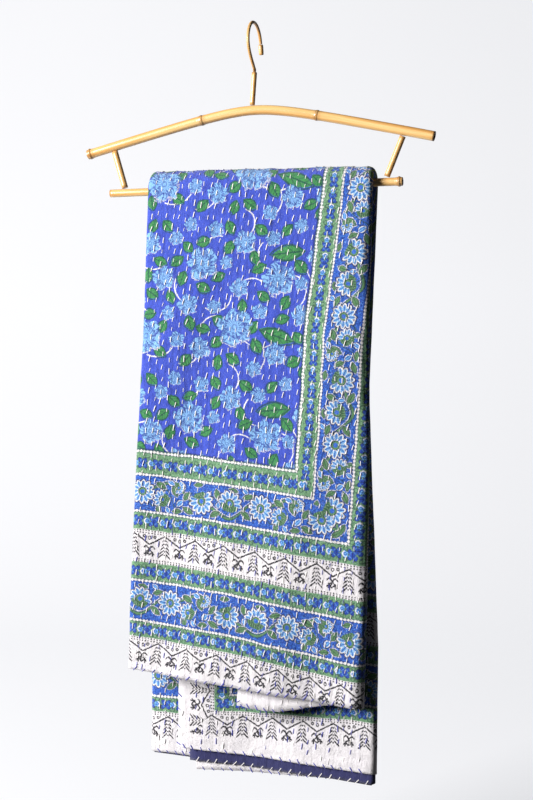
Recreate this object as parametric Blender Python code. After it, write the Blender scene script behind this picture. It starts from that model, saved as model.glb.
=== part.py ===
"""Block print bedspread folded into a narrow strip and hung over the lower bar of a bamboo hanger."""

import math

import bmesh
import bpy
from mathutils import Vector

# Sizes in metres. X runs along the bars, Y from front to back and Z up.
# The hook sits on its rail at the origin.

# Hook
WIRE_R = 0.0020
HOOK_BEND_R = 0.0275
HOOK_RISE = 0.0035
HOOK_WAIST_Y = -0.0150
HOOK_WAIST_Z = -0.0480
HOOK_SHOULDER = 0.0120
HOOK_END_TURN = 0.2000
HOOK_NECK_STEPS = 9
HOOK_BEND_STEPS = 16
CAP_R = 0.0033
CAP_GAP = 0.0005
CAP_LENGTH = 0.0140

# Stem
STEM_R = 0.0034
STEM_TOP_X = 0.0
STEM_TOP_Z = -0.0640
STEM_FOOT_X = -0.0036

# Top bar, a bowed tube
TOP_BAR_R = 0.0064
TOP_BAR_LEFT_X = -0.2420
TOP_BAR_RIGHT_X = 0.2400
TOP_BAR_CREST_Z = -0.1140
TOP_BAR_DROP = 0.0473
TOP_BAR_CREST_LENGTH = 0.0520
TOP_BAR_SPACING = 0.0190

# Lower bar, a straight tube
LOWER_BAR_R = 0.0053
LOWER_BAR_LEFT_X = -0.2080
LOWER_BAR_RIGHT_X = 0.1990
LOWER_BAR_Z = -0.2165
LOWER_BAR_SPACING = 0.0450

# Struts: name, x at the top bar, x at the lower bar, radius
STRUTS = (
    ("left_strut", -0.2040, -0.1845, 0.0043),
    ("right_strut", 0.2020, 0.1757, 0.0039),
)

BORE_SHARE = 0.62
BORE_DEPTH = 0.0120
TUBE_SIDES = 20
ROD_SIDES = 16
FIT_GAP = 0.0003

# Node rings of the tubes: x, swelling as a share of the radius
TOP_BAR_NODES = ((-0.2380, 0.18), (-0.0740, 0.13), (0.0860, 0.13))
LOWER_BAR_NODES = ((0.1950, 0.28),)
# Shape of a ring: distance along the tube, share of the swelling
RING_REACH = 0.0065
RING_SHAPE = ((-0.0060, 0.0), (-0.0022, 0.35), (-0.0008, 1.0), (0.0008, 0.85), (0.0018, 0.30), (0.0060, 0.0))

# Bedspread: cloth folded double, then into three wide panels and a flap that is tucked round them
CLOTH_THICKNESS = 0.0015
SEAT_GAP = 0.0003
SIDE_GAP = 0.0020
LEFT_STACK = 0.0208
RIGHT_STACK = 0.0150
FLAP_STEP = 0.0350
FLAP_CLEARANCE = 0.0080
FLAP_LAYERS = 2
BOTTOM_LOOSENESS = 0.35
LOOSE_DROP = 0.75
WAVE_DROP = 0.25
FRONT_HEM_RUN = -0.660
BACK_HEM_RUN = 0.775
PANEL_COLUMNS = 6
FLAP_COLUMNS = 4
RIGHT_TURN = 0.0092
LEFT_TURN = 0.0060

# Edges of the strip: run along the strip from the bar (front is negative), x of the left folds,
# x of the right folds, x of the flap's edge, x of the doubled end
STRIP_EDGES = (
    (-0.680, -0.1700, 0.1530, -0.0170, -0.1500),
    (-0.560, -0.1665, 0.1570, -0.0190, -0.1480),
    (-0.370, -0.1575, 0.1600, -0.0240, -0.1440),
    (-0.200, -0.1494, 0.1600, -0.0330, -0.1380),
    (0.000, -0.1425, 0.1650, -0.0500, -0.1310),
    (0.120, -0.1450, 0.1600, -0.0580, -0.1300),
    (0.270, -0.1480, 0.1530, -0.0680, -0.1290),
    (0.400, -0.1500, 0.1570, -0.0790, -0.1280),
    (0.600, -0.1560, 0.1650, -0.1080, -0.1180),
    (0.780, -0.1570, 0.1635, -0.1120, -0.0860),
)

# Layers from the bar outwards: panel, front hem below the bar at the left and right ends,
# back hem below the bar at the left and right ends
LAYERS = (
    ("flap", 0.684, 0.673, 0.759, 0.768),
    ("flap", 0.688, 0.668, 0.770, 0.778),
    ("inner", 0.636, 0.650, 0.787, 0.783),
    ("inner", 0.636, 0.655, 0.785, 0.782),
    ("middle", 0.6475, 0.655, 0.767, 0.781),
    ("middle", 0.641, 0.650, 0.770, 0.783),
    ("front", 0.637, 0.668, 0.770, 0.778),
    ("front", 0.6425, 0.673, 0.767, 0.768),
)

# One pass along the folded section, from one side hem to the other: layer, way it runs
PASSES = ((0, 1), (7, -1), (4, 1), (3, -1), (2, 1), (5, -1), (6, 1), (1, -1))
# Turns between those passes: side, bulge past the end of the panels, faces round the turn
TURNS = (
    ("right", 0.0072, 6),
    ("left", 0.0052, 4),
    ("right", 0.0009, 3),
    ("end", 0.0011, 3),
    ("right", 0.0027, 4),
    ("left", 0.0017, 3),
    ("right", 0.0053, 5),
)

# Heights below the bar where the folded section is taken, shared by all layers
FRONT_LEVELS = (0.615, 0.580, 0.530, 0.480, 0.425, 0.370, 0.315, 0.260, 0.205, 0.150, 0.095, 0.045)
BACK_LEVELS = (
    0.045,
    0.095,
    0.150,
    0.205,
    0.260,
    0.315,
    0.370,
    0.425,
    0.480,
    0.540,
    0.600,
    0.655,
    0.705,
    0.740,
)
BAR_FACES = 8

# Soft waves across the drapes: side, height of the wave, its length across, its length down, its start
WAVES = (
    (-1, 0.0022, 0.260, 0.90, 0.6),
    (-1, 0.0012, 0.110, 0.55, 2.1),
    (1, 0.0026, 0.300, 0.80, 1.9),
    (1, 0.0014, 0.130, 0.60, 0.4),
)

BAMBOO = ((0.74, 0.52, 0.24, 1.0), 0.42)
CORD = ((0.80, 0.60, 0.32, 1.0), 0.60)
CLOTH = ((0.11, 0.17, 0.56, 1.0), 0.90)


def clear_scene():
    """Removes what the new file holds."""
    for item in list(bpy.data.objects):
        bpy.data.objects.remove(item, do_unlink=True)


def material(name, look):
    """Plain material of one colour and roughness."""
    made = bpy.data.materials.new(name)
    made.use_nodes = True
    shader = made.node_tree.nodes["Principled BSDF"]
    shader.inputs["Base Color"].default_value = look[0]
    shader.inputs["Roughness"].default_value = look[1]
    return made


def add_object(name, points, faces, look):
    """Mesh object with outward faces, named and with its own material."""
    mesh = bpy.data.meshes.new(name)
    mesh.from_pydata(points, [], faces)
    mesh.validate()
    shape = bmesh.new()
    shape.from_mesh(mesh)
    bmesh.ops.recalc_face_normals(shape, faces=shape.faces)
    shape.to_mesh(mesh)
    shape.free()
    mesh.materials.append(material(name + "_material", look))
    for face in mesh.polygons:
        face.use_smooth = len(face.vertices) == 4
    made = bpy.data.objects.new(name, mesh)
    bpy.context.collection.objects.link(made)
    return made


def swept_tube(name, stations, across, sides, look):
    """Closed round body through stations of centre, direction and radius."""
    points = []
    faces = []
    for centre, along, radius in stations:
        side = Vector(along).cross(across).normalized()
        for step in range(sides):
            turn = 2 * math.pi * step / sides
            points.append(Vector(centre) + radius * (math.cos(turn) * across + math.sin(turn) * side))
    for row in range(len(stations) - 1):
        for step in range(sides):
            after = (step + 1) % sides
            low = row * sides
            high = low + sides
            faces.append((low + step, low + after, high + after, high + step))
    faces.append(tuple(range(sides)))
    last = (len(stations) - 1) * sides
    faces.append(tuple(range(last, last + sides)))
    return add_object(name, points, faces, look)


def swelling(x, nodes):
    """Share by which the node rings widen the tube at x."""
    most = 0.0
    for place, size in nodes:
        away = x - place
        for (start, low), (end, high) in zip(RING_SHAPE, RING_SHAPE[1:]):
            if start <= away <= end:
                most = max(most, size * (low + (high - low) * (away - start) / (end - start)))
    return most


def tube_stations(left, right, radius, nodes, spacing, height, slope):
    """Stations of a tube along X with node rings and a blind bore at each end."""
    places = {left, right}
    count = int((right - left) / spacing)
    places.update(left + (right - left) * step / count for step in range(count))
    for place, _ in nodes:
        places = {x for x in places if abs(x - place) > RING_REACH or x in (left, right)}
        places.update(place + away for away, _ in RING_SHAPE if left < place + away < right)
    stations = []
    for x in sorted(places):
        stations.append((x, radius * (1 + swelling(x, nodes))))
    bore = radius * BORE_SHARE
    stations = [(left + BORE_DEPTH, bore), (left, bore)] + stations
    stations += [(right, bore), (right - BORE_DEPTH, bore)]
    made = []
    for x, size in stations:
        along = Vector((1.0, 0.0, slope(x))).normalized()
        made.append(((x, 0.0, height(x)), along, size))
    return made


def top_bar_height(x):
    """Height of the bowed bar's centre line, straight at the ends and rounded at the crest."""
    half = (TOP_BAR_RIGHT_X - TOP_BAR_LEFT_X) / 2
    rounding = TOP_BAR_CREST_LENGTH
    reach = math.sqrt(half * half + rounding * rounding) - rounding
    return TOP_BAR_CREST_Z - TOP_BAR_DROP * (math.sqrt(x * x + rounding * rounding) - rounding) / reach


def top_bar_slope(x):
    """Slope of the bowed bar's centre line."""
    step = 0.001
    return (top_bar_height(x + step) - top_bar_height(x - step)) / (2 * step)


def build_top_bar():
    """Bowed bamboo tube with hollow ends."""
    stations = tube_stations(
        TOP_BAR_LEFT_X,
        TOP_BAR_RIGHT_X,
        TOP_BAR_R,
        TOP_BAR_NODES,
        TOP_BAR_SPACING,
        top_bar_height,
        top_bar_slope,
    )
    return swept_tube("top_bar", stations, Vector((0, 1, 0)), TUBE_SIDES, BAMBOO)


def build_lower_bar():
    """Straight bamboo tube under the cloth."""
    stations = tube_stations(
        LOWER_BAR_LEFT_X,
        LOWER_BAR_RIGHT_X,
        LOWER_BAR_R,
        LOWER_BAR_NODES,
        LOWER_BAR_SPACING,
        lambda x: LOWER_BAR_Z,
        lambda x: 0.0,
    )
    return swept_tube("lower_bar", stations, Vector((0, 1, 0)), TUBE_SIDES, BAMBOO)


def reach_to_bar(down, along, bar_radius, radius):
    """How far a rod's flat end stays from a bar's centre line so that it just clears the bar."""
    lean = abs(down.dot(along))
    return (bar_radius + FIT_GAP + radius * lean) / math.sqrt(1 - lean * lean)


def build_strut(name, top_x, foot_x, radius):
    """Thin rod between the two bars, its ends sitting against them."""
    top = Vector((top_x, 0, top_bar_height(top_x)))
    foot = Vector((foot_x, 0, LOWER_BAR_Z))
    down = (foot - top).normalized()
    bowed = Vector((1, 0, top_bar_slope(top_x))).normalized()
    start = top + down * reach_to_bar(down, bowed, TOP_BAR_R, radius)
    end = foot - down * reach_to_bar(down, Vector((1, 0, 0)), LOWER_BAR_R, radius)
    stations = []
    for share in (0.0, 0.25, 0.5, 0.75, 1.0):
        stations.append((start.lerp(end, share), down, radius))
    return swept_tube(name, stations, Vector((0, 1, 0)), ROD_SIDES, BAMBOO)


def build_stem():
    """Short tube standing on the crest of the top bar."""
    top = Vector((STEM_TOP_X, 0, STEM_TOP_Z))
    crest = Vector((STEM_FOOT_X, 0, top_bar_height(STEM_FOOT_X)))
    up = (top - crest).normalized()
    bowed = Vector((1, 0, top_bar_slope(STEM_FOOT_X))).normalized()
    foot = crest + up * reach_to_bar(up, bowed, TOP_BAR_R, STEM_R)
    stations = []
    for share in (0.0, 0.33, 0.66, 1.0):
        stations.append((foot.lerp(top, share), up, STEM_R))
    return swept_tube("stem", stations, Vector((0, 1, 0)), ROD_SIDES, BAMBOO)


def hook_line():
    """Centre line of the hook in the YZ plane, from the stem over the rail to the tip."""
    centre_z = WIRE_R - HOOK_BEND_R
    foot = Vector((STEM_TOP_X, 0, STEM_TOP_Z + 2 * FIT_GAP))
    rise = foot + Vector((0, 0, HOOK_RISE))
    waist = Vector((STEM_TOP_X, HOOK_WAIST_Y, HOOK_WAIST_Z))
    below = Vector((STEM_TOP_X, -HOOK_BEND_R, centre_z - HOOK_SHOULDER))
    shoulder = Vector((STEM_TOP_X, -HOOK_BEND_R, centre_z))
    places = [foot]
    for step in range(HOOK_NECK_STEPS):
        share = step / HOOK_NECK_STEPS
        first = rise.lerp(waist, share)
        second = waist.lerp(below, share)
        third = below.lerp(shoulder, share)
        places.append(first.lerp(second, share).lerp(second.lerp(third, share), share))
    for step in range(HOOK_BEND_STEPS + 1):
        turn = (math.pi - HOOK_END_TURN) * step / HOOK_BEND_STEPS
        y = -HOOK_BEND_R * math.cos(turn)
        z = centre_z + HOOK_BEND_R * math.sin(turn)
        places.append(Vector((STEM_TOP_X, y, z)))
    return places


def build_hook():
    """Wire bent from the stem up and over the rail."""
    places = hook_line()
    stations = []
    for step, place in enumerate(places):
        before = places[max(step - 1, 0)]
        after = places[min(step + 1, len(places) - 1)]
        stations.append((place, (after - before).normalized(), WIRE_R))
    return swept_tube("hook", stations, Vector((1, 0, 0)), ROD_SIDES, CORD)


def build_hook_tip():
    """Thicker cap on the free end of the wire."""
    down = Vector((0, math.sin(HOOK_END_TURN), -math.cos(HOOK_END_TURN)))
    top = hook_line()[-1] + down * CAP_GAP
    shape = ((0.0, 0.72), (0.07, 0.94), (0.50, 1.0), (0.92, 0.96), (1.0, 0.80))
    stations = []
    for place, share in shape:
        stations.append((top + down * place * CAP_LENGTH, down, CAP_R * share))
    return swept_tube("hook_tip", stations, Vector((1, 0, 0)), ROD_SIDES, CORD)


def between(rows, run, column):
    """Value of a table's column at this run along the strip."""
    if run <= rows[0][0]:
        return rows[0][column]
    for low, high in zip(rows, rows[1:]):
        if run <= high[0]:
            share = (run - low[0]) / (high[0] - low[0])
            return low[column] + (high[column] - low[column]) * share
    return rows[-1][column]


def soft_step(value):
    """Rise from 0 to 1 without corners."""
    value = min(max(value, 0.0), 1.0)
    return value * value * (3 - 2 * value)


def strip_at(run):
    """The strip's edges at this run: left folds, right folds, flap edge and doubled end."""
    return {
        "left": between(STRIP_EDGES, run, 1),
        "right": between(STRIP_EDGES, run, 2),
        "flap": between(STRIP_EDGES, run, 3),
        "end": between(STRIP_EDGES, run, 4),
    }


def layer_level(layer, x, edges):
    """Distance of a layer's middle from the innermost cloth face, which dips where there is no flap below."""
    share = (x - edges["left"]) / (edges["right"] - edges["left"])
    stack = LEFT_STACK + (RIGHT_STACK - LEFT_STACK) * share
    flap_below = soft_step((x - edges["flap"] + FLAP_STEP) / (FLAP_STEP - FLAP_CLEARANCE))
    place = layer
    if layer >= FLAP_LAYERS:
        place = layer - FLAP_LAYERS * (1 - flap_below)
    pitch = (stack - CLOTH_THICKNESS) / (len(LAYERS) - 1 - FLAP_LAYERS * (1 - flap_below))
    return CLOTH_THICKNESS / 2 + pitch * place


def panel_columns(layer, way, edges):
    """The x places of one pass through the section, in the order that the pass runs."""
    right = edges["right"] - RIGHT_TURN
    left = edges["left"] + LEFT_TURN
    if LAYERS[layer][0] == "flap":
        count = FLAP_COLUMNS
        left = edges["flap"]
    else:
        count = PANEL_COLUMNS
        if LAYERS[layer][0] == "inner":
            left = edges["end"]
    places = [left + (right - left) * step / count for step in range(count + 1)]
    if way < 0:
        places.reverse()
    return places


def section_line(edges):
    """Middle line of the folded section: x, level and layer share of every point."""
    line = []
    for number, (layer, way) in enumerate(PASSES):
        for x in panel_columns(layer, way, edges):
            line.append((x, layer_level(layer, x, edges), layer, layer, 0.0))
        if number == len(TURNS):
            break
        side, bulge, count = TURNS[number]
        after = PASSES[number + 1][0]
        x = line[-1][0]
        start = line[-1][1]
        end = layer_level(after, x, edges)
        outward = 1 if side == "right" else -1
        for step in range(1, count):
            turn = math.pi * step / count
            level = (start + end) / 2 + (start - end) / 2 * math.cos(turn)
            line.append((x + outward * bulge * math.sin(turn), level, layer, after, step / count))
    return line


def hem_drop(point, edges, columns):
    """How far below the bar the hem is at a point of the section, from the table's named columns."""
    x, _, layer, after, share = point
    across = (x - edges["left"]) / (edges["right"] - edges["left"])
    across = min(max(across, 0.0), 1.0)
    first = LAYERS[layer][columns[0]] + (LAYERS[layer][columns[1]] - LAYERS[layer][columns[0]]) * across
    second = LAYERS[after][columns[0]] + (LAYERS[after][columns[1]] - LAYERS[after][columns[0]]) * across
    return first + (second - first) * share


def both_faces(line):
    """The two faces of the cloth, half its thickness to each side of the middle line."""
    right_hand = []
    left_hand = []
    for step, point in enumerate(line):
        before = line[max(step - 1, 0)]
        after = line[min(step + 1, len(line) - 1)]
        dx = after[0] - before[0]
        dw = after[1] - before[1]
        size = math.hypot(dx, dw)
        nx = dw / size
        nw = -dx / size
        half = CLOTH_THICKNESS / 2
        right_hand.append((point[0] + nx * half, point[1] + nw * half))
        left_hand.append((point[0] - nx * half, point[1] - nw * half))
    return right_hand + left_hand[::-1]


def wave_depth(side, x, drop):
    """Soft waves of a drape, none at the bar."""
    depth = 0.0
    for wave_side, height, across, down, start in WAVES:
        if wave_side == side:
            depth += height * math.sin(2 * math.pi * (x / across + drop / down) + start)
    return depth * soft_step(drop / WAVE_DROP)


def drape_point(side, x, level, drop):
    """Place of a point on the front (side -1) or back (side 1) drape."""
    reach = LOWER_BAR_R + SIDE_GAP
    looseness = 1 + BOTTOM_LOOSENESS * soft_step(drop / LOOSE_DROP)
    return (x, side * (reach + level * looseness) + wave_depth(side, x, drop), LOWER_BAR_Z - drop)


def bar_point(x, level, turn):
    """Place of a point where the cloth goes over the bar, turn 0 at the front and pi at the back."""
    lift = math.sin(turn)
    radius = LOWER_BAR_R + SEAT_GAP + (SIDE_GAP - SEAT_GAP) * (1 - lift) + level
    return (x, -radius * math.cos(turn), LOWER_BAR_Z + radius * lift)


def build_bedspread():
    """One closed sheet: the folded section carried from the front hem over the bar to the back hem."""
    runs = [("front_hem", FRONT_HEM_RUN)]
    runs += [("front", -drop) for drop in FRONT_LEVELS]
    runs += [("bar", math.pi * step / BAR_FACES) for step in range(BAR_FACES + 1)]
    runs += [("back", drop) for drop in BACK_LEVELS]
    runs += [("back_hem", BACK_HEM_RUN)]
    points = []
    for kind, value in runs:
        edges = strip_at(0.0 if kind == "bar" else value)
        line = section_line(edges)
        ring = both_faces(line)
        owners = line + line[::-1]
        for (x, level), owner in zip(ring, owners):
            if kind == "front_hem":
                points.append(drape_point(-1, x, level, hem_drop(owner, edges, (1, 2))))
            elif kind == "back_hem":
                points.append(drape_point(1, x, level, hem_drop(owner, edges, (3, 4))))
            elif kind == "bar":
                points.append(bar_point(x, level, value))
            else:
                points.append(drape_point(-1 if kind == "front" else 1, x, level, abs(value)))
    size = len(points) // len(runs)
    half = size // 2
    faces = []
    for row in range(len(runs) - 1):
        low = row * size
        high = low + size
        for step in range(size):
            after = (step + 1) % size
            faces.append((low + step, low + after, high + after, high + step))
    for first in (0, (len(runs) - 1) * size):
        for step in range(half - 1):
            mate = size - 1 - step
            faces.append((first + step, first + step + 1, first + mate - 1, first + mate))
    return add_object("bedspread", points, faces, CLOTH)


def build():
    """The hanger and the bedspread on it."""
    clear_scene()
    build_top_bar()
    for row in STRUTS:
        build_strut(*row)
    build_lower_bar()
    build_stem()
    build_hook()
    build_hook_tip()
    build_bedspread()


build()
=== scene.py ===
"""Looks of a block print bedspread, quilted with running stitch and hung over a bamboo hanger."""

import math
import random

import bmesh
import bpy
import numpy as np
from mathutils import Matrix, Vector, noise


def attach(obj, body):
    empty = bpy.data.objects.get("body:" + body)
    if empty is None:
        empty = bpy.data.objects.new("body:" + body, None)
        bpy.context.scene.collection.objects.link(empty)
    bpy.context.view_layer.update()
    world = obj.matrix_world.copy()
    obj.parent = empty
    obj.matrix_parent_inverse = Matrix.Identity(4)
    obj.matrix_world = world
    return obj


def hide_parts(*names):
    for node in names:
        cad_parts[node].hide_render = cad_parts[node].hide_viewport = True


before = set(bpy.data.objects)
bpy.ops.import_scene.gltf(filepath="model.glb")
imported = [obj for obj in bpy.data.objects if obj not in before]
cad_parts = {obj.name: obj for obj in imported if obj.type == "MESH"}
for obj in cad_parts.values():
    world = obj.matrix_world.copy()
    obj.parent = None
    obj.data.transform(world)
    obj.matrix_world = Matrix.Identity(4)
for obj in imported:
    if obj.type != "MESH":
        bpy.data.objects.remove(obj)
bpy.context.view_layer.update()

# Sizes in metres. X runs along the bars, Y from front to back and Z up, from the inside of the hook's crest.

# Hook and stem
WIRE_R = 0.0020
HOOK_BEND_R = 0.0275
HOOK_RISE = 0.0035
HOOK_WAIST_Y = -0.0150
HOOK_WAIST_Z = -0.0480
HOOK_SHOULDER = 0.0120
HOOK_END_TURN = 0.2000
WINDING_PITCH = 0.0026
WINDING_RISE = 0.10
HOOK_SWEEP_STEPS = 60
HOOK_BEND_STEPS = 120
CAP_R = 0.0033
CAP_LENGTH = 0.0140
CAP_GAP = 0.0005
STEM_R = 0.0034
STEM_TOP_X = 0.0
STEM_TOP_Z = -0.0640
STEM_FOOT_X = -0.0036

# Bars and struts
TOP_BAR_R = 0.0064
TOP_BAR_LEFT_X = -0.2420
TOP_BAR_RIGHT_X = 0.2400
TOP_BAR_CREST_Z = -0.1140
TOP_BAR_DROP = 0.0473
TOP_BAR_CREST_LENGTH = 0.0520
LOWER_BAR_R = 0.0053
LOWER_BAR_LEFT_X = -0.2080
LOWER_BAR_RIGHT_X = 0.1990
LOWER_BAR_Z = -0.2165
STRUTS = (
    ("left_strut", -0.2040, -0.1845, 0.0043),
    ("right_strut", 0.2020, 0.1757, 0.0039),
)
BORE_SHARE = 0.62
BORE_DEPTH = 0.0120
FIT_GAP = 0.0003
TOP_BAR_NODES = ((-0.2380, 0.18), (-0.0740, 0.13), (0.0860, 0.13))
LOWER_BAR_NODES = ((0.1950, 0.28),)
# Mesh of a bar: spacing near and away from node rings, and the rim of its blind bores
RING_REACH = 0.0064
RING_STEP = 0.0005
STATION_STEP = 0.004
BORE_RIM = 0.002
BORE_FLARE = 1.03
# Unevenness of a tube, and the width round it of its grain map
TUBE_UNEVEN = 0.012
TUBE_UNEVEN_WAVES = 22
GRAIN_WIDTH = 0.04
# Scorch marks: dark cut ends, and two dark lines and a faint glow at each node ring
END_SCORCH_REACH = 0.0016
ROD_SCORCH_REACH = 0.002
SCORCH_LINES = (0.0017, -0.0015)
SCORCH_LINE_WIDTH = 0.0007
SCORCH_GLOW_WIDTH = 0.0045
# Shape of a node ring: distance along the tube, share of the swelling
RING_SHAPE = ((-0.0060, 0.0), (-0.0022, 0.35), (-0.0008, 1.0), (0.0008, 0.85), (0.0018, 0.30), (0.0060, 0.0))

# Bedspread: cloth folded double, then into three wide panels and a flap that is tucked round them
CLOTH_LENGTH = 2.290
CLOTH_WIDTH = 1.500
CLOTH_THICKNESS = 0.0015
SEAT_GAP = 0.0003
SIDE_GAP = 0.0020
LEFT_STACK = 0.0208
RIGHT_STACK = 0.0150
FLAP_STEP = 0.0350
FLAP_CLEARANCE = 0.0080
FLAP_LAYERS = 2
BOTTOM_LOOSENESS = 0.35
LOOSE_DROP = 0.75
WAVE_DROP = 0.25
RIGHT_TURN = 0.0092
LEFT_TURN = 0.0060

# Edges of the strip: run along the strip from the bar (front is negative), x of the left folds,
# x of the right folds, x of the flap's edge, x of the doubled end
STRIP_EDGES = (
    (-0.680, -0.1700, 0.1530, -0.0170, -0.1500),
    (-0.560, -0.1665, 0.1570, -0.0190, -0.1480),
    (-0.370, -0.1575, 0.1600, -0.0240, -0.1440),
    (-0.200, -0.1494, 0.1600, -0.0330, -0.1380),
    (0.000, -0.1425, 0.1650, -0.0500, -0.1310),
    (0.120, -0.1450, 0.1600, -0.0580, -0.1300),
    (0.270, -0.1480, 0.1530, -0.0680, -0.1290),
    (0.400, -0.1500, 0.1570, -0.0790, -0.1280),
    (0.600, -0.1560, 0.1650, -0.1080, -0.1180),
    (0.780, -0.1570, 0.1635, -0.1120, -0.0860),
)

# Layers from the bar outwards: panel, front hem below the bar at the left and right ends,
# back hem below the bar at the left and right ends, columns of the mesh
LAYERS = (
    ("flap", 0.684, 0.673, 0.7525, 0.7635, 26),
    ("flap", 0.688, 0.668, 0.770, 0.778, 26),
    ("inner", 0.636, 0.650, 0.787, 0.7745, 8),
    ("inner", 0.636, 0.655, 0.785, 0.7735, 6),
    ("middle", 0.6475, 0.655, 0.767, 0.781, 10),
    ("middle", 0.641, 0.650, 0.770, 0.783, 6),
    ("front", 0.637, 0.668, 0.770, 0.778, 6),
    ("front", 0.6425, 0.673, 0.767, 0.768, 60),
)
# One pass along the folded section, from one side hem to the other: layer, way it runs
PASSES = ((0, 1), (7, -1), (4, 1), (3, -1), (2, 1), (5, -1), (6, 1), (1, -1))
# Turns between those passes: side, bulge past the end of the panels, faces round the turn
TURNS = (
    ("right", 0.0072, 10),
    ("left", 0.0052, 8),
    ("right", 0.0009, 4),
    ("end", 0.0011, 4),
    ("right", 0.0027, 6),
    ("left", 0.0017, 4),
    ("right", 0.0053, 8),
)
OUTER, FLAP_FACE, FLAP_BACK, INNER, MIDDLE = 7, 0, 1, 2, 4

# Drop of the last common row and numbers of rows of the mesh
FRONT_COMMON = 0.615
BACK_COMMON = 0.740
FRONT_ROWS = 104
BAR_ROWS = 14
BACK_ROWS = 96
HEM_ROWS = 8
# Reach of the hem rows along the strip, and the share of the section over which the cloth's own
# measure changes from the first side hem to the other
HEM_RUN = 0.05
COUNT_FROM_OTHER_HEM = (0.44, 0.12)

# Soft waves across the drapes: side, height of the wave, its length across, its length down, its start
WAVES = (
    (-1, 0.0022, 0.260, 0.90, 0.6),
    (-1, 0.0012, 0.110, 0.55, 2.1),
    (1, 0.0026, 0.300, 0.80, 1.9),
    (1, 0.0014, 0.130, 0.60, 0.4),
)

# The flap's front hem sags and curls forward, and one of its layers is a little narrower near the back hem
FLAP_SAG = 0.0110
FLAP_SAG_X = 0.0360
FLAP_SAG_WIDTH = 0.0520
FLAP_CURL = 0.0060
FLAP_CURL_REACH = 0.0350
FLAP_PLEAT = 0.0115
FLAP_PLEAT_DEPTH = 0.0009
FLAP_PLEAT_WANDER = 90
FLAP_BACK_SHORT = 0.0170
FLAP_BACK_SHORT_RUN = (0.60, 0.15)

# Puckers between the stitch rows: height, waves across, waves along, seed
PUCKERS = ((0.0014, 16, 11, 3.7), (0.0011, 60, 38, 9.1))
PUCKER_LIFT = 0.0008
FLAP_PUCKER_LIFT = 0.0006
FLAP_PUCKER_START = 0.08

# How far the print lies askew of the hems: front at its right end, back at its left and right ends
FRONT_SLIP = 0.0120
BACK_SLIP = (0.0095, 0.0200)
FLAP_BACK_SLIP = -0.0220
FLAP_SIDE_SLIP = 0.0065
# Where those shifts come in: start and width of the stretch
FRONT_SLIP_ACROSS = (-0.06, 0.21)
FRONT_SLIP_DOWN = (0.30, 0.36)
BACK_SLIP_ACROSS = (-0.10, 0.25)
BACK_SLIP_DOWN = (0.1, 0.5)
BACK_JOIN_DOWN = (0.05, 0.35)
FLAP_BACK_SLIP_DOWN = (0.45, 0.1)
FLAP_SIDE_SLIP_DOWN = (0.45, 0.15)
# How far the print lies askew of the side folds on the front: drop below the bar, shift
SIDE_SLIP = (
    (0.00, 0.0063),
    (0.16, 0.0070),
    (0.26, 0.0082),
    (0.36, 0.0062),
    (0.46, 0.0046),
    (0.70, 0.0046),
)
SIDE_SLIP_END = 0.3

# Border bands, as distances from the cut edge of the cloth
FIELD_EDGE = 0.2955
BEAD_LINES = (0.0672, 0.1207, 0.2128, 0.2622, 0.2932)
BEAD_PITCH = 0.0047
SIDE_STRIP_LESS = 0.0060
GREEN_STRIPS = (0.0560, 0.1335, 0.2005, 0.2775)
GREEN_PITCH = 0.0210
FLORAL_STRIPS = (0.0940, 0.2375)
FLORAL_ZONES = ((0.0672, 0.1207), (0.2128, 0.2622))
FLORAL_REPEAT = 0.1650
TREE_BANDS = (0.0455, 0.1890)
TREE_ZONES = ((-0.1, 0.0455), (0.1455, 0.1890))
TREE_DEPTH = 0.0435
TREE_PITCH = 0.0420
PLAIN_HEM = 0.0115

# Stitches, whose thread is measured in shares of a stitch's length
STITCH_PITCH = 0.0098
STITCH_LENGTH = 0.0070
STITCH_STEP = 0.0150
WHIP_STEP = 0.0126
WHIP_LENGTH = 0.0066
SIDE_WHIP_STEP = 0.0210
WHIP_OVERHANG = 0.0012
ROW_WANDER = 0.0012
THREAD_RADIUS = 0.088
THREAD_RISE = 0.11
BLUE_THREAD, WHITE_THREAD = 0.95, 0.05
# Mesh rows near the hems that are stitched, and how far from a side hem
BACK_STITCH_ROWS = 34
FRONT_STITCH_ROWS = 14
SIDE_STITCH_REACH = 0.3

# Camera
VIEW_TURN = 18.0
VIEW_DISTANCE = 1.670
VIEW_HEIGHT = -0.432
FOCAL_PIXELS = 1259.0
PHOTO_WIDTH, PHOTO_HEIGHT = 533, 800
SENSOR = 36.0
HORIZON_ROW = 350.0
HANGER_COLUMN = 254.5


# Folds of the cloth


def between(rows, run, column):
    """Value of a table's column at this run along the strip, eased from row to row."""
    if run <= rows[0][0]:
        return rows[0][column]
    for low, high in zip(rows, rows[1:]):
        if run <= high[0]:
            share = (run - low[0]) / (high[0] - low[0])
            return low[column] + (high[column] - low[column]) * share
    return rows[-1][column]


def soft_step(value):
    """Rise from 0 to 1 without corners."""
    value = min(max(value, 0.0), 1.0)
    return value * value * (3 - 2 * value)


def ramp(value, start, width):
    """Rise from 0 to 1 over a stretch that begins at start."""
    return soft_step((value - start) / width)


def bell(value, width):
    """1 at 0, falling away smoothly on both sides."""
    return math.exp(-((value / width) ** 2))


def strip_at(run):
    """The strip's edges at this run: left folds, right folds, flap edge and doubled end."""
    return {
        "left": between(STRIP_EDGES, run, 1),
        "right": between(STRIP_EDGES, run, 2),
        "flap": between(STRIP_EDGES, run, 3),
        "flap_back": between(STRIP_EDGES, run, 3) + FLAP_BACK_SHORT * ramp(run, *FLAP_BACK_SHORT_RUN),
        "end": between(STRIP_EDGES, run, 4),
    }


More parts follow.
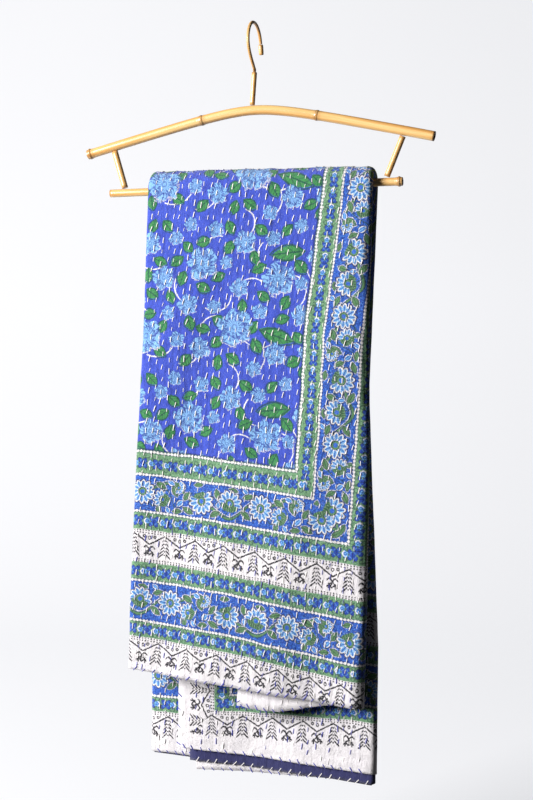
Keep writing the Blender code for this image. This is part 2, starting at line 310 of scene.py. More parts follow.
def layer_level(layer, x, edges):
    """Distance of a layer's middle from the innermost cloth face, which dips where there is no flap below."""
    share = (x - edges["left"]) / (edges["right"] - edges["left"])
    stack = LEFT_STACK + (RIGHT_STACK - LEFT_STACK) * share
    flap_below = soft_step((x - edges["flap"] + FLAP_STEP) / (FLAP_STEP - FLAP_CLEARANCE))
    place = layer
    if layer >= FLAP_LAYERS:
        place = layer - FLAP_LAYERS * (1 - flap_below)
    pitch = (stack - CLOTH_THICKNESS) / (len(LAYERS) - 1 - FLAP_LAYERS * (1 - flap_below))
    return CLOTH_THICKNESS / 2 + pitch * place


def panel_columns(layer, way, edges):
    """The x places of one pass through the section, in the order that the pass runs."""
    right = edges["right"] - RIGHT_TURN
    left = edges["left"] + LEFT_TURN
    if LAYERS[layer][0] == "flap":
        left = edges["flap_back"] if layer == FLAP_BACK else edges["flap"]
    elif LAYERS[layer][0] == "inner":
        left = edges["end"]
    count = LAYERS[layer][5]
    places = [left + (right - left) * step / count for step in range(count + 1)]
    if way < 0:
        places.reverse()
    return places


def section_line(edges):
    """Middle line of the folded section: x, level, layer, next layer and share between them."""
    line = []
    for number, (layer, way) in enumerate(PASSES):
        for x in panel_columns(layer, way, edges):
            line.append((x, layer_level(layer, x, edges), layer, layer, 0.0))
        if number == len(TURNS):
            break
        side, bulge, count = TURNS[number]
        after = PASSES[number + 1][0]
        x = line[-1][0]
        start = line[-1][1]
        end = layer_level(after, x, edges)
        outward = 1 if side == "right" else -1
        for step in range(1, count):
            turn = math.pi * step / count
            level = (start + end) / 2 + (start - end) / 2 * math.cos(turn)
            line.append((x + outward * bulge * math.sin(turn), level, layer, after, step / count))
    return line


def hem_drop(point, edges, columns):
    """How far below the bar the hem is at a point of the section."""
    x, _, layer, after, share = point
    across = (x - edges["left"]) / (edges["right"] - edges["left"])
    across = min(max(across, 0.0), 1.0)
    low, high = columns
    first = LAYERS[layer][low] + (LAYERS[layer][high] - LAYERS[layer][low]) * across
    second = LAYERS[after][low] + (LAYERS[after][high] - LAYERS[after][low]) * across
    found = first + (second - first) * share
    if low == 1 and FLAP_BACK in (layer, after):
        found += FLAP_SAG * bell(x - FLAP_SAG_X, FLAP_SAG_WIDTH)
    return found


def print_slip(kind, layer, x, drop):
    """How far the print has moved along the strip, since its bands are not quite parallel to the hems."""
    if kind == "front" and layer == FLAP_BACK:
        return FLAP_BACK_SLIP * ramp(drop, *FLAP_BACK_SLIP_DOWN)
    if kind == "front":
        return FRONT_SLIP * ramp(x, *FRONT_SLIP_ACROSS) * ramp(drop, *FRONT_SLIP_DOWN)
    if kind == "back":
        left, right = BACK_SLIP
        return (left + (right - left) * ramp(x, *BACK_SLIP_ACROSS)) * ramp(drop, *BACK_SLIP_DOWN)
    return 0.0


def wave_depth(side, x, drop):
    """Soft waves of a drape, none at the bar."""
    depth = 0.0
    for wave_side, height, across, down, start in WAVES:
        if wave_side == side:
            depth += height * math.sin(2 * math.pi * (x / across + drop / down) + start)
    return depth * soft_step(drop / WAVE_DROP)


def drape_point(side, x, level, drop):
    """Place of a point on the front (side -1) or back (side 1) drape."""
    reach = LOWER_BAR_R + SIDE_GAP
    looseness = 1 + BOTTOM_LOOSENESS * soft_step(drop / LOOSE_DROP)
    return (x, side * (reach + level * looseness) + wave_depth(side, x, drop), LOWER_BAR_Z - drop)


def bar_point(x, level, turn):
    """Place of a point where the cloth goes over the bar, turn 0 at the front and pi at the back."""
    lift = math.sin(turn)
    radius = LOWER_BAR_R + SEAT_GAP + (SIDE_GAP - SEAT_GAP) * (1 - lift) + level
    return (x, -radius * math.cos(turn), LOWER_BAR_Z + radius * lift)


def puckers(x, run):
    """Small uneven rises between the rows of stitches, in metres."""
    depth = 0.0
    for height, across, along, seed in PUCKERS:
        depth += height * noise.noise(Vector((x * across, run * along, seed)))
    return depth


def runs_of_cloth():
    """The rows of the mesh along the strip: kind, value and share of the way to the hem."""
    rows = []
    for step in range(HEM_ROWS, 0, -1):
        rows.append(("front", FRONT_COMMON, step / HEM_ROWS))
    for step in range(FRONT_ROWS):
        rows.append(("front", FRONT_COMMON * (1 - step / FRONT_ROWS), 0.0))
    for step in range(BAR_ROWS + 1):
        rows.append(("bar", math.pi * step / BAR_ROWS, 0.0))
    for step in range(1, BACK_ROWS + 1):
        rows.append(("back", BACK_COMMON * step / BACK_ROWS, 0.0))
    for step in range(1, HEM_ROWS + 1):
        rows.append(("back", BACK_COMMON, step / HEM_ROWS))
    return rows


def cloth_grid():
    """Places of both faces of the cloth and its own coordinates, row by row along the strip."""
    printed, reverse, across_cloth, along_cloth, layer_of = [], [], [], [], []
    arc_radius = LOWER_BAR_R + SIDE_GAP
    half = CLOTH_THICKNESS / 2
    for kind, value, to_hem in runs_of_cloth():
        side = -1 if kind == "front" else 1
        run = 0.0 if kind == "bar" else side * (value + HEM_RUN * to_hem)
        edges = strip_at(run)
        line = section_line(edges)
        flat = np.array([(x, level) for x, level, _, _, _ in line])
        steps = np.hypot(*np.diff(flat, axis=0).T)
        travelled = np.concatenate(([0.0], np.cumsum(steps)))
        from_other = CLOTH_LENGTH - (travelled[-1] - travelled)
        share = travelled / travelled[-1]
        blend = np.array([ramp(s, *COUNT_FROM_OTHER_HEM) for s in share])
        across = travelled * (1 - blend) + from_other * blend
        face_row, back_row, along_row = [], [], []
        for step, point in enumerate(line):
            before = line[max(step - 1, 0)]
            after = line[min(step + 1, len(line) - 1)]
            dx = after[0] - before[0]
            dw = after[1] - before[1]
            size = math.hypot(dx, dw)
            nx, nw = dw / size, -dx / size
            x, level, layer, _, _ = point
            front_hem = hem_drop(point, edges, (1, 2))
            back_hem = hem_drop(point, edges, (3, 4))
            drop = value
            if kind == "front":
                drop = value + (front_hem - value) * to_hem
            elif kind == "back":
                drop = value + (back_hem - value) * to_hem
            relief = 0.0
            if layer == OUTER:
                relief = puckers(x, run) + PUCKER_LIFT
            elif layer == FLAP_FACE and kind != "bar":
                relief = (-puckers(x, run) - FLAP_PUCKER_LIFT) * soft_step(drop / FLAP_PUCKER_START)
            elif layer == FLAP_BACK and kind == "front":
                near_hem = soft_step((drop - front_hem + FLAP_CURL_REACH) / FLAP_CURL_REACH)
                pleat = math.sin(2 * math.pi * (x / FLAP_PLEAT + 0.4 * math.sin(x * FLAP_PLEAT_WANDER)))
                relief = near_hem * (FLAP_CURL + FLAP_PLEAT_DEPTH * pleat)
            over_bar = math.pi * (arc_radius + level)
            if kind == "front":
                along = front_hem - drop
            elif kind == "bar":
                along = front_hem + over_bar * value / math.pi
            else:
                whole = front_hem + over_bar + back_hem
                join = ramp(drop, *BACK_JOIN_DOWN)
                along = front_hem + over_bar + drop + (CLOTH_WIDTH - whole) * join
            along += print_slip(kind, layer, x, drop)
            if kind == "front":
                across[step] += between(SIDE_SLIP, drop, 1)
            elif kind == "bar":
                across[step] += SIDE_SLIP[0][1]
            else:
                across[step] += SIDE_SLIP[0][1] * (1 - soft_step(drop / SIDE_SLIP_END))
                if layer == FLAP_FACE:
                    across[step] -= FLAP_SIDE_SLIP * ramp(drop, *FLAP_SIDE_SLIP_DOWN)
            for hand, row in ((1, face_row), (-1, back_row)):
                px = x + hand * nx * half
                pw = level + hand * nw * half + relief
                if kind == "bar":
                    row.append(bar_point(px, pw, value))
                else:
                    row.append(drape_point(side, px, pw, drop))
            along_row.append(along)
        printed.append(face_row)
        reverse.append(back_row)
        across_cloth.append(across)
        along_cloth.append(along_row)
        layer_of = [(layer, after) for _, _, layer, after, _ in line]
    return {
        "printed": np.array(printed),
        "reverse": np.array(reverse),
        "across": np.array(across_cloth),
        "along": np.array(along_cloth),
        "layers": layer_of,
    }


def new_object(name, mesh):
    """Object at the origin, in the scene's collection."""
    made = bpy.data.objects.new(name, mesh)
    bpy.context.scene.collection.objects.link(made)
    return made


def make_bedspread(grid, materials):
    """One closed sheet with its printed face, its reverse and its turned edges."""
    printed, reverse = grid["printed"], grid["reverse"]
    rows, columns = printed.shape[:2]
    points = np.concatenate((printed, reverse[:, ::-1]), axis=1)
    across = np.concatenate((grid["across"], grid["across"][:, ::-1]), axis=1)
    along = np.concatenate((grid["along"], grid["along"][:, ::-1]), axis=1)
    size = 2 * columns
    faces, kinds = [], []
    for row in range(rows - 1):
        low = row * size
        for step in range(size):
            after = (step + 1) % size
            faces.append((low + step, low + size + step, low + size + after, low + after))
            kinds.append(1 if columns <= step < size - 1 else 0)
    for first, flip in ((0, False), ((rows - 1) * size, True)):
        for step in range(columns - 1):
            mate = size - 1 - step
            ring = (first + step, first + step + 1, first + mate - 1, first + mate)
            faces.append(ring[::-1] if flip else ring)
            kinds.append(0)
    mesh = bpy.data.meshes.new("bedspread_quilt")
    mesh.from_pydata(points.reshape(-1, 3).tolist(), [], faces)
    for made in materials:
        mesh.materials.append(made)
    mesh.polygons.foreach_set("material_index", kinds)
    mesh.polygons.foreach_set("use_smooth", [True] * len(faces))
    cloth = mesh.uv_layers.new(name="cloth")
    corners = np.empty(len(mesh.loops), dtype=np.int32)
    mesh.loops.foreach_get("vertex_index", corners)
    places = np.stack((across.ravel()[corners], along.ravel()[corners]), axis=1)
    cloth.data.foreach_set("uv", places.astype(np.float32).ravel())
    mesh.update()
    return new_object("bedspread_quilt", mesh)


# Stitches


def thread_lines(grid, layer, side, rows, places):
    """Lines along the strip at set distances from a side hem, on one layer's face."""
    chosen = [step for step, pair in enumerate(grid["layers"]) if pair == (layer, layer)]
    face = grid["printed"] if side > 0 else grid["reverse"]
    lines = []
    across = grid["across"][:, chosen]
    out = (grid["printed"] - grid["reverse"]) * side / CLOTH_THICKNESS
    falling = across[0, 0] > across[0, -1]
    for place in places:
        spots, normals, along = [], [], []
        for row in rows:
            known = across[row][::-1] if falling else across[row]
            if not known[0] <= place <= known[-1]:
                continue
            spot = [np.interp(place, known, face[row, chosen, k][:: -1 if falling else 1]) for k in range(3)]
            normal = [np.interp(place, known, out[row, chosen, k][:: -1 if falling else 1]) for k in range(3)]
            spots.append(spot)
            normals.append(normal)
            along.append(np.interp(place, known, grid["along"][row, chosen][:: -1 if falling else 1]))
        if len(spots) > 2:
            lines.append((place, np.array(spots), np.array(normals), np.array(along)))
    return lines


def edge_distance(across, along):
    """Distance of a place in the cloth from its nearest cut edge."""
    return min(across, CLOTH_LENGTH - across, along, CLOTH_WIDTH - along)


def on_white(across, along, slack):
    """Whether a place lies in a white band, with some slack at its edges."""
    away = edge_distance(across, along)
    return any(edge - TREE_DEPTH - slack < away < edge + slack for edge in TREE_BANDS)


def running_stitches(grid, layer, side, rows, low, high, seed):
    """Stitches of one layer's face: place, direction, outward direction, length and tone."""
    draw = random.Random(seed)
    first = math.ceil(low / STITCH_PITCH)
    places = [step * STITCH_PITCH for step in range(first, int(high / STITCH_PITCH) + 1)]
    places = [place + draw.uniform(-ROW_WANDER, ROW_WANDER) for place in places]
    made = []
    for place, spots, normals, along in thread_lines(grid, layer, side, rows, places):
        walked = np.concatenate(([0.0], np.cumsum(np.linalg.norm(np.diff(spots, axis=0), axis=1))))
        at = draw.uniform(0.004, STITCH_STEP)
        while at < walked[-1] - 0.006:
            length = STITCH_LENGTH * draw.uniform(0.62, 1.20)
            ends = []
            for end in (at - length / 2, at + length / 2):
                ends.append(Vector([np.interp(end, walked, spots[:, k]) for k in range(3)]))
            out = Vector([np.interp(at, walked, normals[:, k]) for k in range(3)]).normalized()
            way = ends[1] - ends[0]
            aside = way.cross(out).normalized()
            way = (way + aside * way.length * draw.uniform(-0.06, 0.30) * side).normalized()
            middle = (ends[0] + ends[1]) / 2 + aside * draw.uniform(-0.0009, 0.0009)
            far = np.interp(at, walked, along)
            tone = draw.uniform(0.0, 0.12)
            plain = edge_distance(place, far) < PLAIN_HEM
            if on_white(place, far, draw.uniform(-0.002, 0.008)) and draw.random() < 0.75:
                tone = draw.uniform(0.75, 1.0)
            if not plain or draw.random() < 0.35:
                made.append((middle, way, out, length, tone))
            at += STITCH_STEP * draw.uniform(0.80, 1.20)
    return made


def whip_stitches(spots, normals, inwards, tone, lean, seed, spacing=WHIP_STEP):
    """Slanted stitches over a hem, given the edge line, the way into the cloth and the side they lean to."""
    draw = random.Random(seed)
    walked = np.concatenate(([0.0], np.cumsum(np.linalg.norm(np.diff(spots, axis=0), axis=1))))
    made = []
    at = draw.uniform(0.003, spacing)
    while at < walked[-1] - 0.004:
        spot = Vector([np.interp(at, walked, spots[:, k]) for k in range(3)])
        ahead = Vector([np.interp(at + 0.003, walked, spots[:, k]) for k in range(3)])
        out = Vector([np.interp(at, walked, normals[:, k]) for k in range(3)]).normalized()
        inward = Vector([np.interp(at, walked, inwards[:, k]) for k in range(3)]).normalized()
        along = (ahead - spot).normalized()
        length = WHIP_LENGTH * draw.uniform(0.8, 1.2)
        way = (inward + along * lean * draw.uniform(0.5, 1.0)).normalized()
        middle = spot + way * (length / 2 - WHIP_OVERHANG)
        made.append((middle, way, out, length, tone))
        at += spacing * draw.uniform(0.85, 1.15)
    return made


def hem_line(grid, layer, side, row, inner_row):
    """Edge line of a layer's hem with outward and inward directions."""
    chosen = [step for step, pair in enumerate(grid["layers"]) if pair == (layer, layer)]
    face = grid["printed"] if side > 0 else grid["reverse"]
    out = (grid["printed"] - grid["reverse"]) * side / CLOTH_THICKNESS
    spots = face[row, chosen]
    order = np.argsort(spots[:, 0])
    inwards = face[inner_row, chosen] - spots
    return spots[order], out[row, chosen][order], inwards[order]


def side_hem_line(grid, column, neighbour, side, rows):
    """Edge line of a side hem with outward and inward directions."""
    face = grid["printed"] if side > 0 else grid["reverse"]
    out = (grid["printed"] - grid["reverse"]) * side / CLOTH_THICKNESS
    return face[rows, column], out[rows, column], face[rows, neighbour] - face[rows, column]


def stitch_tree(material):
    """Puts one short raised thread on every point, turned along its own direction."""
    tree = bpy.data.node_groups.new("stitches_on_points", "GeometryNodeTree")
    face = tree.interface
    face.new_socket("Points", in_out="INPUT", socket_type="NodeSocketGeometry")
    for label in ("Thread radius", "Thread rise"):
        face.new_socket(label, in_out="INPUT", socket_type="NodeSocketFloat")
    face.new_socket("Stitches", in_out="OUTPUT", socket_type="NodeSocketGeometry")
    nodes, links = tree.nodes, tree.links
    given = nodes.new("NodeGroupInput")
    done = nodes.new("NodeGroupOutput")
    arc = nodes.new("GeometryNodeCurveQuadraticBezier")
    arc.inputs["Resolution"].default_value = 4
    arc.inputs["Start"].default_value = (-0.5, 0.0, 0.0)
    arc.inputs["End"].default_value = (0.5, 0.0, 0.0)
    peak = nodes.new("ShaderNodeCombineXYZ")
    links.new(given.outputs["Thread rise"], peak.inputs["Z"])
    links.new(peak.outputs["Vector"], arc.inputs["Middle"])
    ring = nodes.new("GeometryNodeCurvePrimitiveCircle")
    ring.inputs["Resolution"].default_value = 5
    ring.inputs["Radius"].default_value = 1.0
    tube = nodes.new("GeometryNodeCurveToMesh")
    tube.inputs["Fill Caps"].default_value = True
    links.new(ring.outputs["Curve"], tube.inputs["Profile Curve"])
    shape = nodes.new("GeometryNodeTransform")
    links.new(tube.outputs["Mesh"], shape.inputs["Geometry"])
    links.new(arc.outputs["Curve"], tube.inputs["Curve"])
    links.new(given.outputs["Thread radius"], tube.inputs["Scale"])
    place = nodes.new("GeometryNodeInstanceOnPoints")
    links.new(given.outputs["Points"], place.inputs["Points"])
    links.new(shape.outputs["Geometry"], place.inputs["Instance"])
    turn = nodes.new("FunctionNodeAxesToRotation")
    turn.primary_axis = "X"
    turn.secondary_axis = "Z"
    for label, socket in (("way", "Primary Axis"), ("out", "Secondary Axis")):
        read = nodes.new("GeometryNodeInputNamedAttribute")
        read.data_type = "FLOAT_VECTOR"
        read.inputs["Name"].default_value = label
        links.new(read.outputs["Attribute"], turn.inputs[socket])
    links.new(turn.outputs["Rotation"], place.inputs["Rotation"])
    size = nodes.new("GeometryNodeInputNamedAttribute")
    size.data_type = "FLOAT"
    size.inputs["Name"].default_value = "size"
    links.new(size.outputs["Attribute"], place.inputs["Scale"])
    real = nodes.new("GeometryNodeRealizeInstances")
    links.new(place.outputs["Instances"], real.inputs["Geometry"])
    dress = nodes.new("GeometryNodeSetMaterial")
    dress.inputs["Material"].default_value = material
    links.new(real.outputs["Geometry"], dress.inputs["Geometry"])
    links.new(dress.outputs["Geometry"], done.inputs["Stitches"])
    return tree


def make_stitches(name, stitches, material):
    """All stitches of a list as one plain mesh."""
    mesh = bpy.data.meshes.new(name + "_points")
    mesh.from_pydata([tuple(row[0]) for row in stitches], [], [])
    for label, kind, column in (("way", "FLOAT_VECTOR", 1), ("out", "FLOAT_VECTOR", 2)):
        held = mesh.attributes.new(label, kind, "POINT")
        values = np.array([tuple(row[column]) for row in stitches], np.float32)
        held.data.foreach_set("vector", values.ravel())
    for label, column in (("size", 3), ("tone", 4)):
        held = mesh.attributes.new(label, "FLOAT", "POINT")
        held.data.foreach_set("value", np.array([row[column] for row in stitches], np.float32))
    points = new_object(name + "_points", mesh)
    tree = stitch_tree(material)
    grow = points.modifiers.new("stitches", "NODES")
    grow.node_group = tree
    sizes = {"Thread radius": THREAD_RADIUS, "Thread rise": THREAD_RISE}
    for item in tree.interface.items_tree:
        if item.in_out == "INPUT" and item.name in sizes:
            grow[item.identifier] = sizes[item.name]
    ready = points.evaluated_get(bpy.context.evaluated_depsgraph_get())
    plain = bpy.data.meshes.new_from_object(ready)
    bpy.data.objects.remove(points, do_unlink=True)
    plain.name = name
    plain.polygons.foreach_set("use_smooth", [True] * len(plain.polygons))
    return new_object(name, plain)


# Bamboo


def swelling(x, nodes):
    """Share by which the node rings widen the tube at x."""
    most = 0.0
    for place, size in nodes:
        away = x - place
        for (start, low), (end, high) in zip(RING_SHAPE, RING_SHAPE[1:]):
            if start <= away <= end:
                most = max(most, size * (low + (high - low) * (away - start) / (end - start)))
    return most


def top_bar_height(x):
    """Height of the bowed bar's centre line, straight at the ends and rounded at the crest."""
    half = (TOP_BAR_RIGHT_X - TOP_BAR_LEFT_X) / 2
    rounding = TOP_BAR_CREST_LENGTH
    reach = math.sqrt(half * half + rounding * rounding) - rounding
    return TOP_BAR_CREST_Z - TOP_BAR_DROP * (math.sqrt(x * x + rounding * rounding) - rounding) / reach


def top_bar_slope(x):
    """Slope of the bowed bar's centre line."""
    near = 0.001
    return (top_bar_height(x + near) - top_bar_height(x - near)) / (2 * near)


def make_tube(name, stations, across, sides, material, seed):
    """Closed round body through stations of centre, direction, radius and dark mark (scorch, and painted
    shade in grooves and bores), mapped along its grain.
    """
    points, faces, scorch_and_shade, lengths = [], [], [], []
    walked = 0.0
    before = None
    for centre, along, radius, burnt_and_shaded in stations:
        centre = Vector(centre)
        walked += (centre - before).length if before is not None else 0.0
        before = centre
        side = Vector(along).cross(across).normalized()
        for step in range(sides):
            turn = 2 * math.pi * step / sides
            wander = noise.noise(Vector((math.cos(turn) + seed, math.sin(turn), walked * TUBE_UNEVEN_WAVES)))
            size = radius * (1 + TUBE_UNEVEN * wander)
            points.append(centre + size * (math.cos(turn) * across + math.sin(turn) * side))
            scorch_and_shade.append(burnt_and_shaded)
        lengths.append(walked)
    for row in range(len(stations) - 1):
        for step in range(sides):
            after = (step + 1) % sides
            low = row * sides
            faces.append((low + step, low + after, low + sides + after, low + sides + step))
    last = (len(stations) - 1) * sides
    faces.append(tuple(range(sides))[::-1])
    faces.append(tuple(range(last, last + sides)))
    mesh = bpy.data.meshes.new(name)
    mesh.from_pydata(points, [], faces)
    mesh.materials.append(material)
    grain = mesh.uv_layers.new(name="grain")
    for number, face in enumerate(mesh.polygons):
        face.use_smooth = len(face.vertices) == 4
        row = number // sides
        for corner, loop in enumerate(face.loop_indices):
            vertex = mesh.loops[loop].vertex_index
            step = vertex % sides
            if len(face.vertices) == 4 and step == 0 and corner in (1, 2):
                step = sides
            grain.data[loop].uv = (lengths[vertex // sides], step / sides * GRAIN_WIDTH)
    held = mesh.attributes.new("scorch_and_shade", "FLOAT", "POINT")
    held.data.foreach_set("value", np.array(scorch_and_shade, np.float32))
    mesh.update()
    made = new_object(name, mesh)
    outward(made)
    return made


def outward(made):
    """Turns a closed mesh's faces outwards."""
    shape = bmesh.new()
    shape.from_mesh(made.data)
    bmesh.ops.recalc_face_normals(shape, faces=shape.faces)
    shape.to_mesh(made.data)
    shape.free()


def bar_stations(left, right, radius, nodes, height, slope):
    """Stations of a bamboo bar with node rings, scorch marks and a blind bore at each end, whose inside is
    painted dark as shade.
    """
    places = set(np.arange(left, right, STATION_STEP).tolist()) | {right}
    for place, _ in nodes:
        places = {x for x in places if abs(x - place) > RING_REACH or x in (left, right)}
        for step in range(-12, 13):
            x = place + step * RING_STEP
            if left < x < right:
                places.add(x)
    stations = []
    for x in sorted(places):
        burnt_and_shaded = 0.7 * math.exp(-(min(x - left, right - x) / END_SCORCH_REACH))
        for place, _ in nodes:
            lines = sum(bell(x - place - aside, SCORCH_LINE_WIDTH) for aside in SCORCH_LINES)
            burnt_and_shaded = max(burnt_and_shaded, lines, 0.45 * bell(x - place, SCORCH_GLOW_WIDTH))
        stations.append((x, radius * (1 + swelling(x, nodes)), burnt_and_shaded))
    bore = radius * BORE_SHARE
    rim = bore * BORE_FLARE
    # Painted shade: the inside of each blind bore is given the full dark mark.
    inner = [(left + BORE_DEPTH, bore, 1.0), (left + BORE_RIM, bore, 1.0), (left, rim, 0.8)]
    outer = [(right, rim, 0.8), (right - BORE_RIM, bore, 1.0), (right - BORE_DEPTH, bore, 1.0)]
    made = []
    for x, size, burnt_and_shaded in inner + stations + outer:
        along = Vector((1.0, 0.0, slope(x))).normalized()
        made.append(((x, 0.0, height(x)), along, size, burnt_and_shaded))
    return made


def reach_to_bar(down, along, bar_radius, radius):
    """How far a rod's flat end stays from a bar's centre line so that it just clears the bar."""
    lean = abs(down.dot(along))
    return (bar_radius + FIT_GAP + radius * lean) / math.sqrt(1 - lean * lean)


def rod_stations(start, end, radius):
    """Stations of a straight rod with slightly darker cut ends."""
    way = (end - start).normalized()
    count = max(int((end - start).length / STATION_STEP), 4)
    made = []
    for step in range(count + 1):
        share = step / count
        near = min(share, 1 - share) * (end - start).length
        made.append((start.lerp(end, share), way, radius, 0.45 * math.exp(-near / ROD_SCORCH_REACH)))
    return made


def make_strut(name, top_x, foot_x, radius, material, seed):
    """Thin rod between the two bars."""
    top = Vector((top_x, 0, top_bar_height(top_x)))
    foot = Vector((foot_x, 0, LOWER_BAR_Z))
    down = (foot - top).normalized()
    bowed = Vector((1, 0, top_bar_slope(top_x))).normalized()
    start = top + down * reach_to_bar(down, bowed, TOP_BAR_R, radius)
    end = foot - down * reach_to_bar(down, Vector((1, 0, 0)), LOWER_BAR_R, radius)
    return make_tube(name, rod_stations(start, end, radius), Vector((0, 1, 0)), 28, material, seed)


def make_stem(material):
    """Short tube standing on the crest of the top bar."""
    top = Vector((STEM_TOP_X, 0, STEM_TOP_Z))
    crest = Vector((STEM_FOOT_X, 0, top_bar_height(STEM_FOOT_X)))
    up = (top - crest).normalized()
    bowed = Vector((1, 0, top_bar_slope(STEM_FOOT_X))).normalized()
    foot = crest + up * reach_to_bar(up, bowed, TOP_BAR_R, STEM_R)
    return make_tube("stem_tube", rod_stations(foot, top, STEM_R), Vector((0, 1, 0)), 28, material, 4.2)


def hook_line():
    """Centre line of the hook in the YZ plane, from the stem up and over to the tip."""
    centre_z = WIRE_R - HOOK_BEND_R
    foot = Vector((STEM_TOP_X, 0, STEM_TOP_Z + 2 * FIT_GAP))
    rise = foot + Vector((0, 0, HOOK_RISE))
    waist = Vector((STEM_TOP_X, HOOK_WAIST_Y, HOOK_WAIST_Z))
    below = Vector((STEM_TOP_X, -HOOK_BEND_R, centre_z - HOOK_SHOULDER))
    shoulder = Vector((STEM_TOP_X, -HOOK_BEND_R, centre_z))
    places = [foot]
    for step in range(HOOK_SWEEP_STEPS):
        share = step / HOOK_SWEEP_STEPS
        first = rise.lerp(waist, share)
        second = waist.lerp(below, share)
        third = below.lerp(shoulder, share)
        places.append(first.lerp(second, share).lerp(second.lerp(third, share), share))
    for step in range(HOOK_BEND_STEPS + 1):
        turn = (math.pi - HOOK_END_TURN) * step / HOOK_BEND_STEPS
        y = -HOOK_BEND_R * math.cos(turn)
        z = centre_z + HOOK_BEND_R * math.sin(turn)
        places.append(Vector((STEM_TOP_X, y, z)))
    return places


def make_hook(material):
    """Wire hook with a strip wound round it in close turns, and painted shade in the grooves between the
    turns.
    """
    places = hook_line()
    stations = []
    walked = 0.0
    for step, place in enumerate(places):
        before = places[max(step - 1, 0)]
        after = places[min(step + 1, len(places) - 1)]
        walked += (place - before).length
        turns = abs(math.sin(math.pi * walked / WINDING_PITCH))
        size = WIRE_R * (1.01 + WINDING_RISE * turns)
        # Painted shade: the grooves between the wound turns are darkened through the same mark that carries
        # scorch.
        stations.append((place, (after - before).normalized(), size, 0.55 * (1 - turns)))
    return make_tube("hook_wire", stations, Vector((1, 0, 0)), 20, material, 6.6)


def make_hook_tip(material):
    """Thicker cap on the free end of the wire."""
    down = Vector((0, math.sin(HOOK_END_TURN), -math.cos(HOOK_END_TURN)))
    top = hook_line()[-1] + down * CAP_GAP
    shape = (
        (0.0, 0.45, 0.8),
        (0.01, 0.72, 0.7),
        (0.07, 0.93, 0.4),
        (0.24, 0.98, 0.1),
        (0.50, 1.0, 0.0),
        (0.73, 0.99, 0.0),
        (0.90, 0.97, 0.15),
        (0.975, 0.90, 0.5),
        (1.0, 0.76, 0.7),
    )
    stations = []
    for place, share, burnt_and_shaded in shape:
        stations.append((top + down * place * CAP_LENGTH, down, CAP_R * share, burnt_and_shaded))
    return make_tube("hook_cap", stations, Vector((1, 0, 0)), 28, material, 8.8)


# Material maths


class Flow:
    """One output of a material's nodes. Sums, products and absolute values of it are Math nodes."""

    def __init__(self, pattern, socket):
        self.pattern = pattern
        self.socket = socket

    def __add__(self, other):
        return self.pattern.maths("ADD", self, other)

    def __radd__(self, other):
        return self.pattern.maths("ADD", other, self)

    def __sub__(self, other):
        return self.pattern.maths("SUBTRACT", self, other)

    def __rsub__(self, other):
        return self.pattern.maths("SUBTRACT", other, self)

    def __mul__(self, other):
        return self.pattern.maths("MULTIPLY", self, other)

    def __truediv__(self, other):
        return self.pattern.maths("DIVIDE", self, other)

    def __abs__(self):
        return self.pattern.maths("ABSOLUTE", self)


